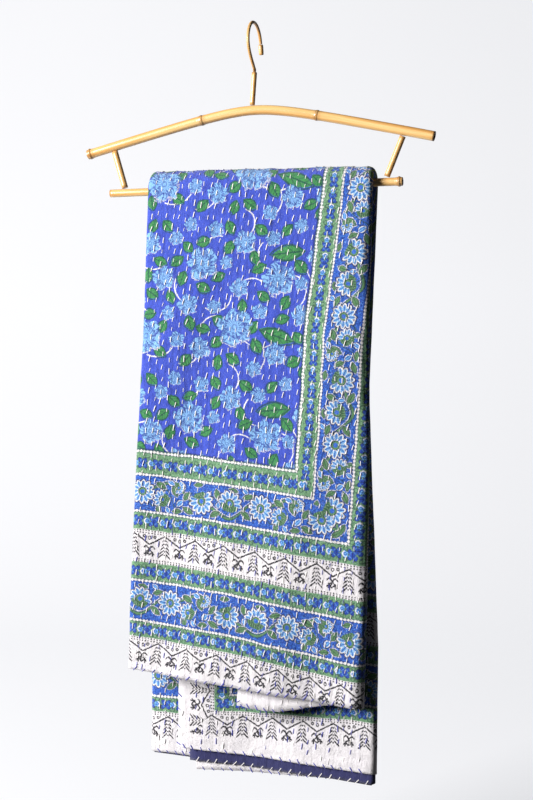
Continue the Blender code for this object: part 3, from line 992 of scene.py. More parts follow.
class Pattern:
    """Adds nodes to one material's tree. Inputs are flows, sockets, numbers or triples."""

    def __init__(self, name):
        self.material = bpy.data.materials.new(name)
        self.material.use_nodes = True
        self.tree = self.material.node_tree
        self.nodes = self.tree.nodes
        self.shader = self.nodes["Principled BSDF"]

    def feed(self, socket, value):
        """Links or sets a socket."""
        if isinstance(value, Flow):
            value = value.socket
        if isinstance(value, bpy.types.NodeSocket):
            self.tree.links.new(value, socket)
        else:
            socket.default_value = value

    def maths(self, operation, *values):
        """One Math node."""
        node = self.nodes.new("ShaderNodeMath")
        node.operation = operation
        for socket, value in zip(node.inputs, values):
            self.feed(socket, value)
        return Flow(self, node.outputs[0])

    def least(self, *values):
        found = values[0]
        for value in values[1:]:
            found = self.maths("MINIMUM", found, value)
        return found

    def most(self, *values):
        found = values[0]
        for value in values[1:]:
            found = self.maths("MAXIMUM", found, value)
        return found

    def sine(self, value):
        return self.maths("SINE", value)

    def cosine(self, value):
        return self.maths("COSINE", value)

    def below(self, value, limit, soft=0.0003):
        """1 where value is under limit, 0 over it, with a soft edge."""
        node = self.nodes.new("ShaderNodeMapRange")
        middle = limit
        if isinstance(limit, Flow):
            value -= limit
            middle = 0.0
        self.feed(node.inputs["Value"], value)
        node.inputs["From Min"].default_value = middle - soft
        node.inputs["From Max"].default_value = middle + soft
        node.inputs["To Min"].default_value = 1.0
        node.inputs["To Max"].default_value = 0.0
        return Flow(self, node.outputs["Result"])

    def above(self, value, limit, soft=0.0003):
        """1 where value is over limit, 0 under it, with a soft edge."""
        return self.below(limit - value, 0.0, soft)

    def close_to(self, value, place, width, soft=0.0003):
        """1 where value lies within width of a place."""
        return self.below(abs(value - place), width, soft)

    def inside(self, value, low, high, soft=0.0003):
        """1 where value lies between low and high."""
        return self.below(value, high, soft) * (1.0 - self.below(value, low, soft))

    def cells(self, value, pitch):
        """Distance from the middle of the nearest cell of a repeat."""
        return self.maths("WRAP", value, pitch / 2, -pitch / 2)

    def vectors(self, operation, *values, scale=None):
        """One Vector Math node."""
        node = self.nodes.new("ShaderNodeVectorMath")
        node.operation = operation
        for socket, value in zip(node.inputs, values):
            self.feed(socket, value)
        if scale is not None:
            self.feed(node.inputs["Scale"], scale)
        return Flow(self, node.outputs["Value" if operation in ("LENGTH", "DOT_PRODUCT") else "Vector"])

    def join(self, x, y, z=0.0):
        """Vector from three numbers."""
        node = self.nodes.new("ShaderNodeCombineXYZ")
        for socket, value in zip(node.inputs, (x, y, z)):
            self.feed(socket, value)
        return Flow(self, node.outputs[0])

    def turned(self, vector, lengthways, sideways):
        """A flat vector measured along two other ways."""
        along = self.vectors("DOT_PRODUCT", vector, lengthways)
        aside = self.vectors("DOT_PRODUCT", vector, sideways)
        return self.join(along, aside)

    def parts(self, vector):
        """Three numbers of a vector."""
        node = self.nodes.new("ShaderNodeSeparateXYZ")
        self.feed(node.inputs[0], vector)
        return [Flow(self, output) for output in node.outputs]

    def length(self, x, y):
        """Length of a flat vector."""
        return self.maths("SQRT", x * x + y * y)

    def paint(self, under, over, share):
        """Colour over another by share."""
        node = self.nodes.new("ShaderNodeMix")
        node.data_type = "RGBA"
        self.feed(node.inputs["Factor"], share)
        self.feed(node.inputs[6], under)
        self.feed(node.inputs[7], over)
        return Flow(self, node.outputs[2])

    def choose(self, under, over, share):
        """Vector over another by share."""
        node = self.nodes.new("ShaderNodeMix")
        node.data_type = "VECTOR"
        self.feed(node.inputs["Factor"], share)
        self.feed(node.inputs[4], under)
        self.feed(node.inputs[5], over)
        return Flow(self, node.outputs[1])

    def mottle(self, vector, scale, detail, roughness):
        """Noise from 0 to 1, and its colour."""
        node = self.nodes.new("ShaderNodeTexNoise")
        self.feed(node.inputs["Vector"], vector)
        node.inputs["Scale"].default_value = scale
        node.inputs["Detail"].default_value = detail
        node.inputs["Roughness"].default_value = roughness
        return Flow(self, node.outputs["Fac"]), Flow(self, node.outputs["Color"])

    def streaks(self, vector, stretch, detail, roughness):
        """Noise from 0 to 1 that is finer one way than the other."""
        return self.mottle(self.vectors("MULTIPLY", vector, stretch), 1.0, detail, roughness)[0]

    def map(self, name):
        """A piece's own UV map."""
        node = self.nodes.new("ShaderNodeUVMap")
        node.uv_map = name
        return Flow(self, node.outputs["UV"])

    def attribute(self, name):
        """A piece's own attribute."""
        node = self.nodes.new("ShaderNodeAttribute")
        node.attribute_name = name
        return Flow(self, node.outputs["Fac"])

    def raise_surface(self, height, distance, strength):
        """Bump from a height."""
        node = self.nodes.new("ShaderNodeBump")
        node.inputs["Strength"].default_value = strength
        node.inputs["Distance"].default_value = distance
        self.feed(node.inputs["Height"], height)
        self.feed(self.shader.inputs["Normal"], node.outputs["Normal"])

    def finish(self, colour, roughness, **others):
        """Sets the shader's own sockets."""
        self.feed(self.shader.inputs["Base Color"], colour)
        self.feed(self.shader.inputs["Roughness"], roughness)
        for name, value in others.items():
            self.feed(self.shader.inputs[name.replace("_", " ")], value)
        return self.material


def rgb(red, green, blue):
    """Colour from values of 0 to 255 as seen on a screen."""
    made = []
    for value in (red, green, blue):
        share = value / 255
        made.append(share / 12.92 if share <= 0.04045 else ((share + 0.055) / 1.055) ** 2.4)
    return (*made, 1.0)


# Printed colours
VIOLET_BLUE = rgb(62, 84, 200)
DEEP_BLUE = rgb(38, 52, 150)
PETAL_BLUE = rgb(112, 176, 236)
DAISY_BLUE = rgb(120, 184, 240)
PALE_BLUE = rgb(165, 205, 245)
BAND_BLUE = rgb(50, 104, 206)
MOTIF_BLUE = rgb(38, 76, 180)
INK_BLUE = rgb(30, 38, 88)
LEAF_GREEN = rgb(56, 138, 74)
LEAF_DARK = rgb(24, 74, 70)
SAGE = rgb(134, 178, 136)
VINE_GREEN = rgb(92, 138, 92)
VINE_DARK = rgb(44, 78, 66)
CHARCOAL = rgb(34, 32, 38)
WHITE_CLOTH = rgb(244, 240, 242)
STEM_WHITE = rgb(238, 236, 240)

# Field repeat, in metres across and along the cloth
FIELD_REPEAT = (0.235, 0.205)
# Flowers of the field: across, along, radius
FLOWERS = (
    (0.0380, 0.0360, 0.0251),
    (0.1500, 0.0600, 0.0262),
    (0.0980, 0.1280, 0.0239),
    (0.2050, 0.1400, 0.0228),
    (0.0920, 0.0300, 0.0160),
    (0.1960, 0.0280, 0.0148),
    (0.0600, 0.0840, 0.0154),
    (0.1180, 0.0840, 0.0114),
    (0.0220, 0.1160, 0.0171),
    (0.1500, 0.1120, 0.0137),
    (0.0480, 0.1600, 0.0160),
    (0.1500, 0.1720, 0.0165),
    (0.2180, 0.0840, 0.0148),
    (0.0080, 0.0700, 0.0103),
    (0.0660, 0.1240, 0.0097),
    (0.1820, 0.0840, 0.0103),
    (0.1120, 0.1800, 0.0108),
    (0.0120, 0.1700, 0.0103),
    (0.1920, 0.1860, 0.0114),
    (0.0760, 0.1980, 0.0103),
    (0.1200, 0.0080, 0.0108),
    (0.2280, 0.1900, 0.0103),
    (0.1720, 0.1440, 0.0097),
    (0.2280, 0.0360, 0.0114),
)
# Leaves of the field: across, along, half length, half width, angle in degrees
LEAVES = (
    (0.0620, 0.0540, 0.0103, 0.0074, 40),
    (0.0660, 0.0220, 0.0108, 0.0074, 150),
    (0.0140, 0.0520, 0.0103, 0.0068, 110),
    (0.0160, 0.0180, 0.0103, 0.0074, 30),
    (0.0520, 0.0100, 0.0103, 0.0068, 80),
    (0.1180, 0.0380, 0.0114, 0.0080, 60),
    (0.0920, 0.0540, 0.0251, 0.0103, 15),
    (0.1240, 0.0620, 0.0103, 0.0068, 120),
    (0.1720, 0.0380, 0.0108, 0.0074, 140),
    (0.1740, 0.0660, 0.0103, 0.0074, 20),
    (0.1420, 0.0880, 0.0103, 0.0068, 80),
    (0.0360, 0.0660, 0.0103, 0.0074, 170),
    (0.0360, 0.0940, 0.0108, 0.0074, 30),
    (0.0840, 0.0980, 0.0103, 0.0074, 110),
    (0.0860, 0.0760, 0.0103, 0.0068, 160),
    (0.1160, 0.1040, 0.0103, 0.0068, 30),
    (0.0440, 0.1180, 0.0103, 0.0074, 85),
    (0.0080, 0.0920, 0.0103, 0.0068, 60),
    (0.0060, 0.1400, 0.0108, 0.0074, 140),
    (0.0300, 0.1380, 0.0103, 0.0068, 20),
    (0.0700, 0.1460, 0.0114, 0.0080, 50),
    (0.1260, 0.1400, 0.0108, 0.0074, 150),
    (0.1340, 0.1540, 0.0103, 0.0068, 70),
    (0.0880, 0.1620, 0.0228, 0.0103, 170),
    (0.0260, 0.1860, 0.0103, 0.0074, 45),
    (0.0460, 0.1840, 0.0103, 0.0068, 100),
    (0.1300, 0.1900, 0.0108, 0.0074, 30),
    (0.0940, 0.1920, 0.0103, 0.0068, 130),
    (0.1700, 0.1640, 0.0103, 0.0074, 120),
    (0.1720, 0.1900, 0.0103, 0.0074, 60),
    (0.2000, 0.1080, 0.0108, 0.0074, 20),
    (0.1800, 0.1240, 0.0103, 0.0068, 150),
    (0.2300, 0.1180, 0.0103, 0.0074, 100),
    (0.2280, 0.1600, 0.0103, 0.0068, 40),
    (0.2060, 0.1680, 0.0103, 0.0074, 160),
    (0.2120, 0.0600, 0.0108, 0.0074, 70),
    (0.1940, 0.0540, 0.0103, 0.0068, 10),
    (0.2140, 0.0100, 0.0103, 0.0074, 130),
    (0.1500, 0.0180, 0.0108, 0.0074, 30),
    (0.1700, 0.0120, 0.0103, 0.0068, 100),
)
STEM_REACH = 1.45
# White stems of the field: across and along of the arc's centre, radius, middle of the arc and half its
# angle in degrees before it is lengthened by the stem reach
STEMS = (
    (0.0700, 0.0700, 0.0200, 215, 45),
    (0.1160, 0.0640, 0.0280, 280, 32),
    (0.0300, 0.0920, 0.0240, 350, 40),
    (0.0800, 0.1120, 0.0220, 160, 40),
    (0.1320, 0.1040, 0.0220, 60, 42),
    (0.0400, 0.1480, 0.0220, 280, 40),
    (0.1100, 0.1600, 0.0200, 330, 48),
    (0.1820, 0.1000, 0.0220, 240, 42),
    (0.1860, 0.1580, 0.0200, 30, 48),
    (0.2160, 0.1100, 0.0240, 320, 36),
    (0.1760, 0.0500, 0.0220, 90, 40),
    (0.1300, 0.0240, 0.0240, 180, 38),
    (0.2180, 0.0240, 0.0200, 220, 44),
    (0.1600, 0.1960, 0.0200, 170, 44),
    (0.0240, 0.0400, 0.0300, 250, 26),
)


def nearest_leaf(pattern, place, half, minus, leaves):
    """Distance to and own coordinates of the nearest leaf in a repeat."""
    best = 9.0
    local = (9.0, 9.0, 0.0)
    for along, side, length, width, degrees in leaves:
        off = pattern.vectors("SUBTRACT", place, (along, side, 0.0))
        off = pattern.vectors("WRAP", off, half, minus)
        turn = math.radians(degrees)
        lengthways = (math.cos(turn) / length, math.sin(turn) / length, 0.0)
        sideways = (-math.sin(turn) / width, math.cos(turn) / width, 0.0)
        own = pattern.turned(off, lengthways, sideways)
        far = pattern.vectors("LENGTH", own)
        local = pattern.choose(local, own, pattern.maths("LESS_THAN", far, best))
        best = pattern.least(best, far)
    return local


def field_print(pattern, places, wobble):
    """Blue ground with pale blue flowers, green leaves and thin white stems."""
    wide, long = FIELD_REPEAT
    half = (wide / 2, long / 2, 1.0)
    minus = (-wide / 2, -long / 2, -1.0)
    # Painted shade: dark streaks in the blue ground, fine across and long along the cloth, stand in for the
    # shade of the quilting puckers and the stitch holes.
    streak = pattern.streaks(places, (260.0, 70.0, 1.0), 2.0, 0.6)
    patchy, _ = pattern.mottle(places, 38.0, 3.0, 0.6)
    ground = pattern.paint(VIOLET_BLUE, DEEP_BLUE, pattern.below(streak, 0.45, 0.1) * 0.62)
    ground = pattern.paint(ground, rgb(82, 104, 214), patchy * 0.3)

    nearest = 1.0
    for across, along, radius, middle, spread in STEMS:
        away = pattern.vectors("SUBTRACT", places, (across, along, 0.0))
        away = pattern.vectors("WRAP", away, half, minus)
        ring = abs(pattern.vectors("LENGTH", away) - radius)
        turn = math.radians(middle)
        toward = pattern.vectors("DOT_PRODUCT", away, (math.cos(turn), math.sin(turn), 0.0))
        beyond = radius * math.cos(math.radians(spread * STEM_REACH)) - toward
        nearest = pattern.least(nearest, pattern.most(ring, beyond))
    thick = 0.0004 + wobble * 0.0007
    colour = pattern.paint(ground, STEM_WHITE, pattern.below(nearest, thick))

    along_leaf, across_leaf, _ = pattern.parts(nearest_leaf(pattern, places, half, minus, LEAVES))
    outline = 1.0 - along_leaf * along_leaf
    wide_leaf = abs(across_leaf)
    leaf = pattern.below(wide_leaf - outline * 0.96, 0.0, 0.05)
    shifted = along_leaf + 0.1
    dark_outline = 1.04 - shifted * shifted
    away = abs(across_leaf + 0.08)
    away = abs(away - dark_outline * 0.95)
    rim = pattern.below(away, 0.13, 0.06) * pattern.below(abs(shifted), 1.12, 0.06)
    veins = pattern.sine((along_leaf + wide_leaf * 0.55) * 15.0)
    veins = pattern.below(veins, -0.72, 0.25) * leaf
    rib = pattern.below(abs(across_leaf + 0.05), 0.09, 0.05) * leaf
    leaf_colour = pattern.paint(LEAF_GREEN, rgb(92, 172, 96), patchy * 0.55)
    specks = pattern.below(wobble, 0.46, 0.06)
    leaf_colour = pattern.paint(leaf_colour, LEAF_DARK, specks * 0.4)
    colour = pattern.paint(colour, leaf_colour, leaf)
    colour = pattern.paint(colour, LEAF_DARK, veins * 0.55)
    colour = pattern.paint(colour, LEAF_DARK, pattern.most(rib, rim) * 0.85)

    best = 9.0
    local = (9.0, 9.0, 0.0)
    for across, along, radius in FLOWERS:
        away = pattern.vectors("SUBTRACT", places, (across, along, 0.0))
        away = pattern.vectors("WRAP", away, half, minus)
        own = pattern.vectors("SCALE", away, scale=1.0 / radius)
        far = pattern.vectors("LENGTH", own)
        local = pattern.choose(local, own, pattern.maths("LESS_THAN", far, best))
        best = pattern.least(best, far)
    x, y, _ = pattern.parts(local)
    angle = pattern.maths("ARCTAN2", y, x) + patchy * 2.5
    petals = pattern.cosine(angle * 5.0)
    frill = pattern.cosine(angle * 14.0)
    edge = 0.86 + (petals * 0.1 + frill * 0.05)
    edge += (wobble - 0.5) * 0.24
    flower = pattern.below(best - edge, 0.0, 0.035)
    inner_edge = edge * 0.62 - petals * 0.1
    ring = pattern.close_to(best, inner_edge, 0.045, 0.03)
    strokes = pattern.sine(angle * 17.0 + wobble * 8.0)
    off_heart = pattern.above(best, 0.22, 0.05)
    strokes = pattern.below(strokes, -0.35, 0.3) * off_heart
    off_heart = pattern.above(best, 0.3, 0.05)
    petal_gap = pattern.below(petals, -0.86, 0.08) * off_heart
    heart = pattern.close_to(best, 0.13, 0.045, 0.04)
    petal = pattern.paint(PETAL_BLUE, PALE_BLUE, patchy * 0.75)
    petal = pattern.paint(petal, DEEP_BLUE, strokes * 0.78)
    petal = pattern.paint(petal, DEEP_BLUE, pattern.most(ring, petal_gap, heart) * 0.65)
    faces_hem = pattern.below(y + x * 0.5, -0.35, 0.2) * 0.85
    border = pattern.close_to(best - edge, 0.05, 0.035, 0.03)
    colour = pattern.paint(colour, DEEP_BLUE, border * 0.6)
    glint = pattern.close_to(best - edge, 0.02, 0.03, 0.02)
    colour = pattern.paint(colour, STEM_WHITE, glint * faces_hem)
    return pattern.paint(colour, petal, flower)


def border_ground(pattern, places, away, wobble, slow):
    """Grounds of the border: white under the trees, blue under the daisies and sage everywhere else."""
    dust, _ = pattern.mottle(places, 430.0, 2.0, 0.6)
    sage = pattern.paint(SAGE, rgb(98, 146, 108), wobble * 0.9)
    blue = pattern.paint(BAND_BLUE, rgb(40, 80, 184), wobble * 0.9)
    white = pattern.paint(WHITE_CLOTH, rgb(230, 226, 236), slow * 0.7)
    blue = pattern.paint(blue, INK_BLUE, pattern.below(dust, 0.43, 0.03) * 0.65)
    pale_dust = pattern.above(dust, 0.6, 0.02)
    blue = pattern.paint(blue, PETAL_BLUE, pale_dust * 0.5)
    sage = pattern.paint(sage, VINE_DARK, pattern.below(dust, 0.43, 0.03) * 0.55)
    colour = sage
    for ground, zones in ((blue, FLORAL_ZONES), (white, TREE_ZONES)):
        for low, high in zones:
            colour = pattern.paint(colour, ground, pattern.inside(away, low, high))
    return colour


def bead_line_print(pattern, away, along, colour):
    """White beads in a row on a thin white line, with dark specks between them."""
    step = pattern.cells(along, BEAD_PITCH)
    line = pattern.least(*[abs(away - place) for place in BEAD_LINES])
    colour = pattern.paint(colour, INK_BLUE, pattern.below(line, 0.0024, 0.0005) * 0.55)
    colour = pattern.paint(colour, WHITE_CLOTH, pattern.below(line, 0.0008) * 0.6)
    bead = pattern.length(step, line)
    return pattern.paint(colour, WHITE_CLOTH, pattern.below(bead, 0.0017))


def green_strip_print(pattern, away, along, wobble, colour):
    """Motifs of the sage strips: four dark blue lobes and a small pale flower in turn, with curled horns."""
    middle = pattern.least(*[abs(away - place) for place in GREEN_STRIPS])
    step = pattern.cells(along, GREEN_PITCH)

    for place, side, size in ((-0.0098, 0.0052, 0.0030), (0.0058, 0.0070, 0.0026)):
        horn = pattern.length(step - place, middle - side)
        horn = pattern.close_to(horn, size, 0.0006)
        horn *= pattern.below(middle, 0.0098, 0.0004)
        colour = pattern.paint(colour, VINE_DARK, horn * 0.75)

    sideways = step + 0.004
    angle = pattern.maths("ARCTAN2", middle, sideways)
    lobes = abs(pattern.sine(angle * 2.0))
    reach = 0.0026 + lobes * 0.0056
    reach += (wobble - 0.5) * 0.0034
    far = pattern.length(sideways, middle)
    edge = far - reach
    colour = pattern.paint(colour, INK_BLUE, pattern.below(edge, 0.0008) * 0.85)
    colour = pattern.paint(colour, MOTIF_BLUE, pattern.below(edge, -0.0004))
    spine = pattern.below(abs(sideways), 0.0005, 0.0002)
    spine *= pattern.below(far, 0.005, 0.0004)
    colour = pattern.paint(colour, INK_BLUE, spine * 0.8)
    eyes = pattern.close_to(far, 0.004, 0.0006)
    colour = pattern.paint(colour, PETAL_BLUE, eyes * (lobes * 0.55))

    beside = step - 0.0056
    far = pattern.length(beside, middle)
    angle = pattern.maths("ARCTAN2", middle, beside)
    reach = 0.0039 + pattern.cosine(angle * 5.0) * 0.0008
    reach += (wobble - 0.5) * 0.0018
    edge = far - reach
    colour = pattern.paint(colour, INK_BLUE, pattern.below(edge, 0.0008) * 0.75)
    colour = pattern.paint(colour, PETAL_BLUE, pattern.below(edge, -0.0001))
    crown = pattern.above(beside, 0.0008, 0.0005)
    crown = pattern.inside(far, 0.0026, 0.0041) * crown
    colour = pattern.paint(colour, WHITE_CLOTH, crown * 0.85)
    heart = pattern.close_to(far, 0.0016, 0.0005)
    return pattern.paint(colour, MOTIF_BLUE, heart)


# Leaves and buds of the floral strip: along and away from its middle line, half length, half width, angle
FLORAL_LEAVES = (
    (0.0200, 0.0130, 0.0070, 0.0030, 160),
    (0.0215, -0.0110, 0.0075, 0.0032, 35),
    (0.0400, 0.0190, 0.0060, 0.0026, 10),
    (0.0640, -0.0150, 0.0075, 0.0032, 150),
    (0.0625, 0.0110, 0.0065, 0.0030, 70),
    (0.1030, -0.0160, 0.0075, 0.0032, 25),
    (0.1060, 0.0030, 0.0065, 0.0030, 120),
    (0.1180, -0.0190, 0.0065, 0.0028, 170),
    (0.1230, 0.0080, 0.0080, 0.0034, 65),
    (0.1360, -0.0080, 0.0080, 0.0034, 140),
    (0.1420, 0.0120, 0.0070, 0.0032, 20),
    (0.1440, -0.0190, 0.0065, 0.0028, 95),
    (0.0900, 0.0200, 0.0060, 0.0026, 170),
)
FLORAL_BUDS = (
    (0.1120, 0.0150, 0.0062, 0.0042, 80),
    (0.1150, -0.0080, 0.0060, 0.0042, 130),
    (0.1290, 0.0180, 0.0056, 0.0038, 20),
    (0.1310, -0.0190, 0.0052, 0.0036, 60),
    (0.0600, -0.0030, 0.0050, 0.0034, 100),
    (0.0240, 0.0200, 0.0050, 0.0034, 40),
)
# Flowers of the floral strip: along and away from its middle line, size, facing in degrees, cosine of the
# angle from that facing at which the petals stop
FLORAL_FLOWERS = (
    (0.0020, 0.0015, 1.20, 0, -2.0),
    (0.0440, 0.0015, 1.20, 100, -0.15),
    (0.0850, -0.0010, 1.28, 250, -0.62),
    (0.1390, -0.0060, 0.95, 20, 0.10),
    (0.1180, 0.0130, 0.66, 200, -0.30),
)


def floral_strip_print(pattern, away, along, wobble, colour):
    """Daisies seen from the front and the side, a winding vine, leaves and buds on the blue strips."""
    first, second = FLORAL_STRIPS
    near = pattern.maths("LESS_THAN", away, (first + second) / 2)
    middle = away - second - near * (first - second)
    strip = pattern.below(abs(middle), 0.0238, 0.0004)
    step = pattern.maths("WRAP", along + near * 0.047, FLORAL_REPEAT, 0.0)
    place = pattern.join(step, middle)
    half = (FLORAL_REPEAT / 2, 1.0, 1.0)
    minus = (-FLORAL_REPEAT / 2, -1.0, -1.0)
    ground = colour

    turn = step * (2 * math.pi / FLORAL_REPEAT)
    swing = pattern.sine(turn + 2.6) * 0.015
    swing += pattern.sine(turn * 3.0) * 0.005
    vine = abs(middle - swing)
    broken = pattern.above(wobble, 0.46, 0.04) * 0.85
    beside = pattern.close_to(middle - swing, 0.0034, 0.0007)
    ground = pattern.paint(ground, WHITE_CLOTH, beside * broken)
    ground = pattern.paint(ground, VINE_DARK, pattern.below(vine, 0.0027, 0.0005) * 0.85)
    ground = pattern.paint(ground, VINE_GREEN, pattern.below(vine, 0.0013, 0.0004))
    tendril = pattern.sine(turn * 5.0 + 1.0) * 0.012
    tendril = abs(middle + 0.004 - tendril)
    ground = pattern.paint(ground, VINE_DARK, pattern.below(tendril, 0.0012, 0.0004) * 0.8)

    lengthways, sideways, _ = pattern.parts(nearest_leaf(pattern, place, half, minus, FLORAL_LEAVES))
    wide = abs(sideways) - (1.0 - lengthways * lengthways)
    body = pattern.below(wide, -0.05, 0.08)
    rib = pattern.below(abs(sideways), 0.16, 0.08) * body
    ground = pattern.paint(ground, WHITE_CLOTH, pattern.below(wide, 0.62, 0.08) * broken)
    ground = pattern.paint(ground, VINE_DARK, pattern.below(wide, 0.34, 0.08) * 0.9)
    ground = pattern.paint(ground, VINE_GREEN, body)
    ground = pattern.paint(ground, VINE_DARK, rib * 0.75)

    lengthways, sideways, _ = pattern.parts(nearest_leaf(pattern, place, half, minus, FLORAL_BUDS))
    wide = abs(sideways) - (1.0 - lengthways * lengthways)
    body = pattern.below(wide, -0.05, 0.08)
    veins = pattern.below(pattern.cosine(sideways * 9.0), -0.3, 0.3) * body
    rim = pattern.inside(wide, -0.3, -0.02, 0.06) * 0.9
    ground = pattern.paint(ground, INK_BLUE, pattern.below(wide, 0.28, 0.08) * 0.85)
    ground = pattern.paint(ground, PETAL_BLUE, body)
    ground = pattern.paint(ground, WHITE_CLOTH, rim)
    ground = pattern.paint(ground, MOTIF_BLUE, veins * 0.8)

    best = 9.0
    local = (9.0, 9.0, 0.0)
    for step_at, side_at, size, degrees, stop in FLORAL_FLOWERS:
        off = pattern.vectors("SUBTRACT", place, (step_at, side_at, 0.0))
        off = pattern.vectors("WRAP", off, half, minus)
        facing = math.radians(degrees)
        lengthways = (math.cos(facing) / size, math.sin(facing) / size, 0.0)
        sideways = (-math.sin(facing) / size, math.cos(facing) / size, 0.0)
        own = pattern.turned(off, lengthways, sideways)
        far = pattern.vectors("LENGTH", own)
        marked = pattern.vectors("ADD", own, (0.0, 0.0, stop))
        local = pattern.choose(local, marked, pattern.maths("LESS_THAN", far, best))
        best = pattern.least(best, far)
    x, y, stop = pattern.parts(local)
    faces = pattern.below(stop - x / (best + 0.0001), 0.0, 0.06)
    angle = pattern.maths("ARCTAN2", y, x) / (2 * math.pi)
    within = pattern.maths("WRAP", angle * 12.0, 0.5, -0.5)
    lateral = abs(within) * (best * (2 * math.pi / 12.0))
    reach = (best - 0.0088) / 0.005
    round_off = pattern.length(reach, lateral / 0.0028)
    round_off += (wobble - 0.5) * 0.35
    ink = pattern.below(round_off, 1.3, 0.06) * faces * 0.9
    ground = pattern.paint(ground, INK_BLUE, ink)
    ground = pattern.paint(ground, WHITE_CLOTH, pattern.below(round_off, 1.0, 0.08) * faces)
    ground = pattern.paint(ground, DAISY_BLUE, pattern.below(round_off, 0.7, 0.08) * faces)
    vein = pattern.below(lateral, 0.0005) * pattern.inside(best, 0.005, 0.0122, 0.0004)
    ground = pattern.paint(ground, MOTIF_BLUE, vein * faces * 0.95)
    specks = pattern.below(round_off, 1.0, 0.08) * faces
    specks = pattern.below(wobble, 0.42, 0.05) * specks
    ground = pattern.paint(ground, INK_BLUE, specks * 0.55)
    hatch = pattern.below(pattern.cosine(y * (2 * math.pi / 0.0026)), 0.0, 0.3)
    heart = pattern.paint(VINE_GREEN, VINE_DARK, hatch * 0.8)
    back = pattern.below(best, 0.01, 0.0004) * (1.0 - faces)
    back *= pattern.above(x, -0.009, 0.0004)
    ground = pattern.paint(ground, heart, back)
    ground = pattern.paint(ground, VINE_DARK, pattern.below(best, 0.0048))
    ground = pattern.paint(ground, VINE_GREEN, pattern.below(best, 0.0039))
    ground = pattern.paint(ground, BAND_BLUE, pattern.below(best, 0.0024))
    worn = pattern.above(wobble, 0.64, 0.03) * 0.45
    ground = pattern.paint(ground, WHITE_CLOTH, worn * pattern.below(best, 0.015, 0.001))
    return pattern.paint(colour, ground, strip)


def tree_band_print(pattern, away, along, wobble, colour):
    """Charcoal zigzag on the white bands, a tree under each peak and a sprig under each valley."""
    first, second = TREE_BANDS
    near = pattern.maths("LESS_THAN", away, (first + second) / 2)
    depth = second + near * (first - second) - away
    step = pattern.cells(along, TREE_PITCH)
    from_tree = abs(step)
    half = TREE_PITCH / 2

    zigzag = abs(depth - (0.0062 + from_tree * (0.0125 / half)))
    ink = pattern.below(zigzag, 0.0012)

    rows = ((0.0014, 0.0), (0.0044, 0.0), (0.0398, 1.0), (0.0424, 1.0))
    for row_depth, inner_only in rows:
        dot = pattern.length(pattern.cells(along, 0.004), depth - row_depth)
        dot = pattern.below(dot, 0.001)
        if inner_only:
            dot *= 1.0 - near
        ink = pattern.most(ink, dot)

    slope = depth - from_tree * 0.9
    dash = pattern.below(abs(pattern.cells(slope - 0.0008, 0.0045)), 0.0013)
    spread = 0.003 + (depth - 0.01) * 0.22
    crown = pattern.below(from_tree - spread, 0.0, 0.0004)
    crown *= pattern.inside(slope, 0.0085, 0.0305, 0.0004)
    crown *= pattern.below(0.0014 - from_tree, 0.0)
    ink = pattern.most(ink, dash * crown)
    bead = pattern.length(from_tree, pattern.cells(depth - 0.012, 0.0048))
    bead = pattern.below(bead, 0.0011) * pattern.inside(depth, 0.0085, 0.0345, 0.0004)
    ink = pattern.most(ink, bead)

    from_sprig = half - from_tree
    signed = pattern.cells(along + half, TREE_PITCH)
    strokes = ((0.0225, 0.0080, 0.0014), (0.0272, 0.0052, -0.0016), (0.0312, 0.0074, 0.0012))
    for row_depth, reach, curve in strokes:
        bend = pattern.cosine(signed * (2 * math.pi / 0.0085)) * curve
        stroke = abs(depth - row_depth - bend)
        stroke = pattern.below(stroke, 0.0013) * pattern.below(from_sprig, reach, 0.0004)
        ink = pattern.most(ink, stroke)
    leg = pattern.close_to(from_sprig, 0.0048, 0.001)
    ink = pattern.most(ink, leg * pattern.inside(depth, 0.0275, 0.0345, 0.0004))
    leaning = signed - (depth - 0.0265) * 0.4
    spine = pattern.below(abs(leaning), 0.0011)
    spine *= pattern.inside(depth, 0.0205, 0.032, 0.0004)
    ink = pattern.most(ink, spine)

    drop = pattern.length(from_sprig * 1.35, depth - 0.01)
    ink = pattern.most(ink, pattern.close_to(drop, 0.002, 0.0008))
    pip = pattern.length(from_sprig - 0.007, depth - 0.0086)
    ink = pattern.most(ink, pattern.close_to(pip, 0.0015, 0.0008))

    worn = 1.0 - pattern.below(wobble, 0.38, 0.06) * 0.55
    outer = pattern.inside(depth, -0.0002, 0.0355)
    inner = pattern.inside(depth, 0.0355, TREE_DEPTH) * (1.0 - near)
    band = pattern.most(outer, inner)
    return pattern.paint(colour, CHARCOAL, ink * band * worn)


def quilt_relief(pattern, places):
    """Height of puckers between the stitch rows, crinkles and weave."""
    across, along, _ = pattern.parts(places)
    drift, _ = pattern.mottle(places, 24.0, 1.0, 0.5)
    fade, _ = pattern.mottle(places, 60.0, 1.0, 0.5)
    row = across + drift * 0.008
    row = abs(pattern.sine(row * (math.pi / STITCH_PITCH)))
    row = pattern.maths("POWER", row, 0.6) * (fade * 0.3)
    crinkle = pattern.streaks(places, (170.0, 110.0, 1.0), 3.0, 0.6)
    pucker = pattern.streaks(places, (62.0, 44.0, 1.0), 2.0, 0.5)
    warp = pattern.sine(across * (2 * math.pi / 0.0011))
    weft = pattern.sine(along * (2 * math.pi / 0.0012))
    weave = (warp + weft) * 0.05
    height = row + crinkle * 0.75
    return height + pucker * 0.9 + weave


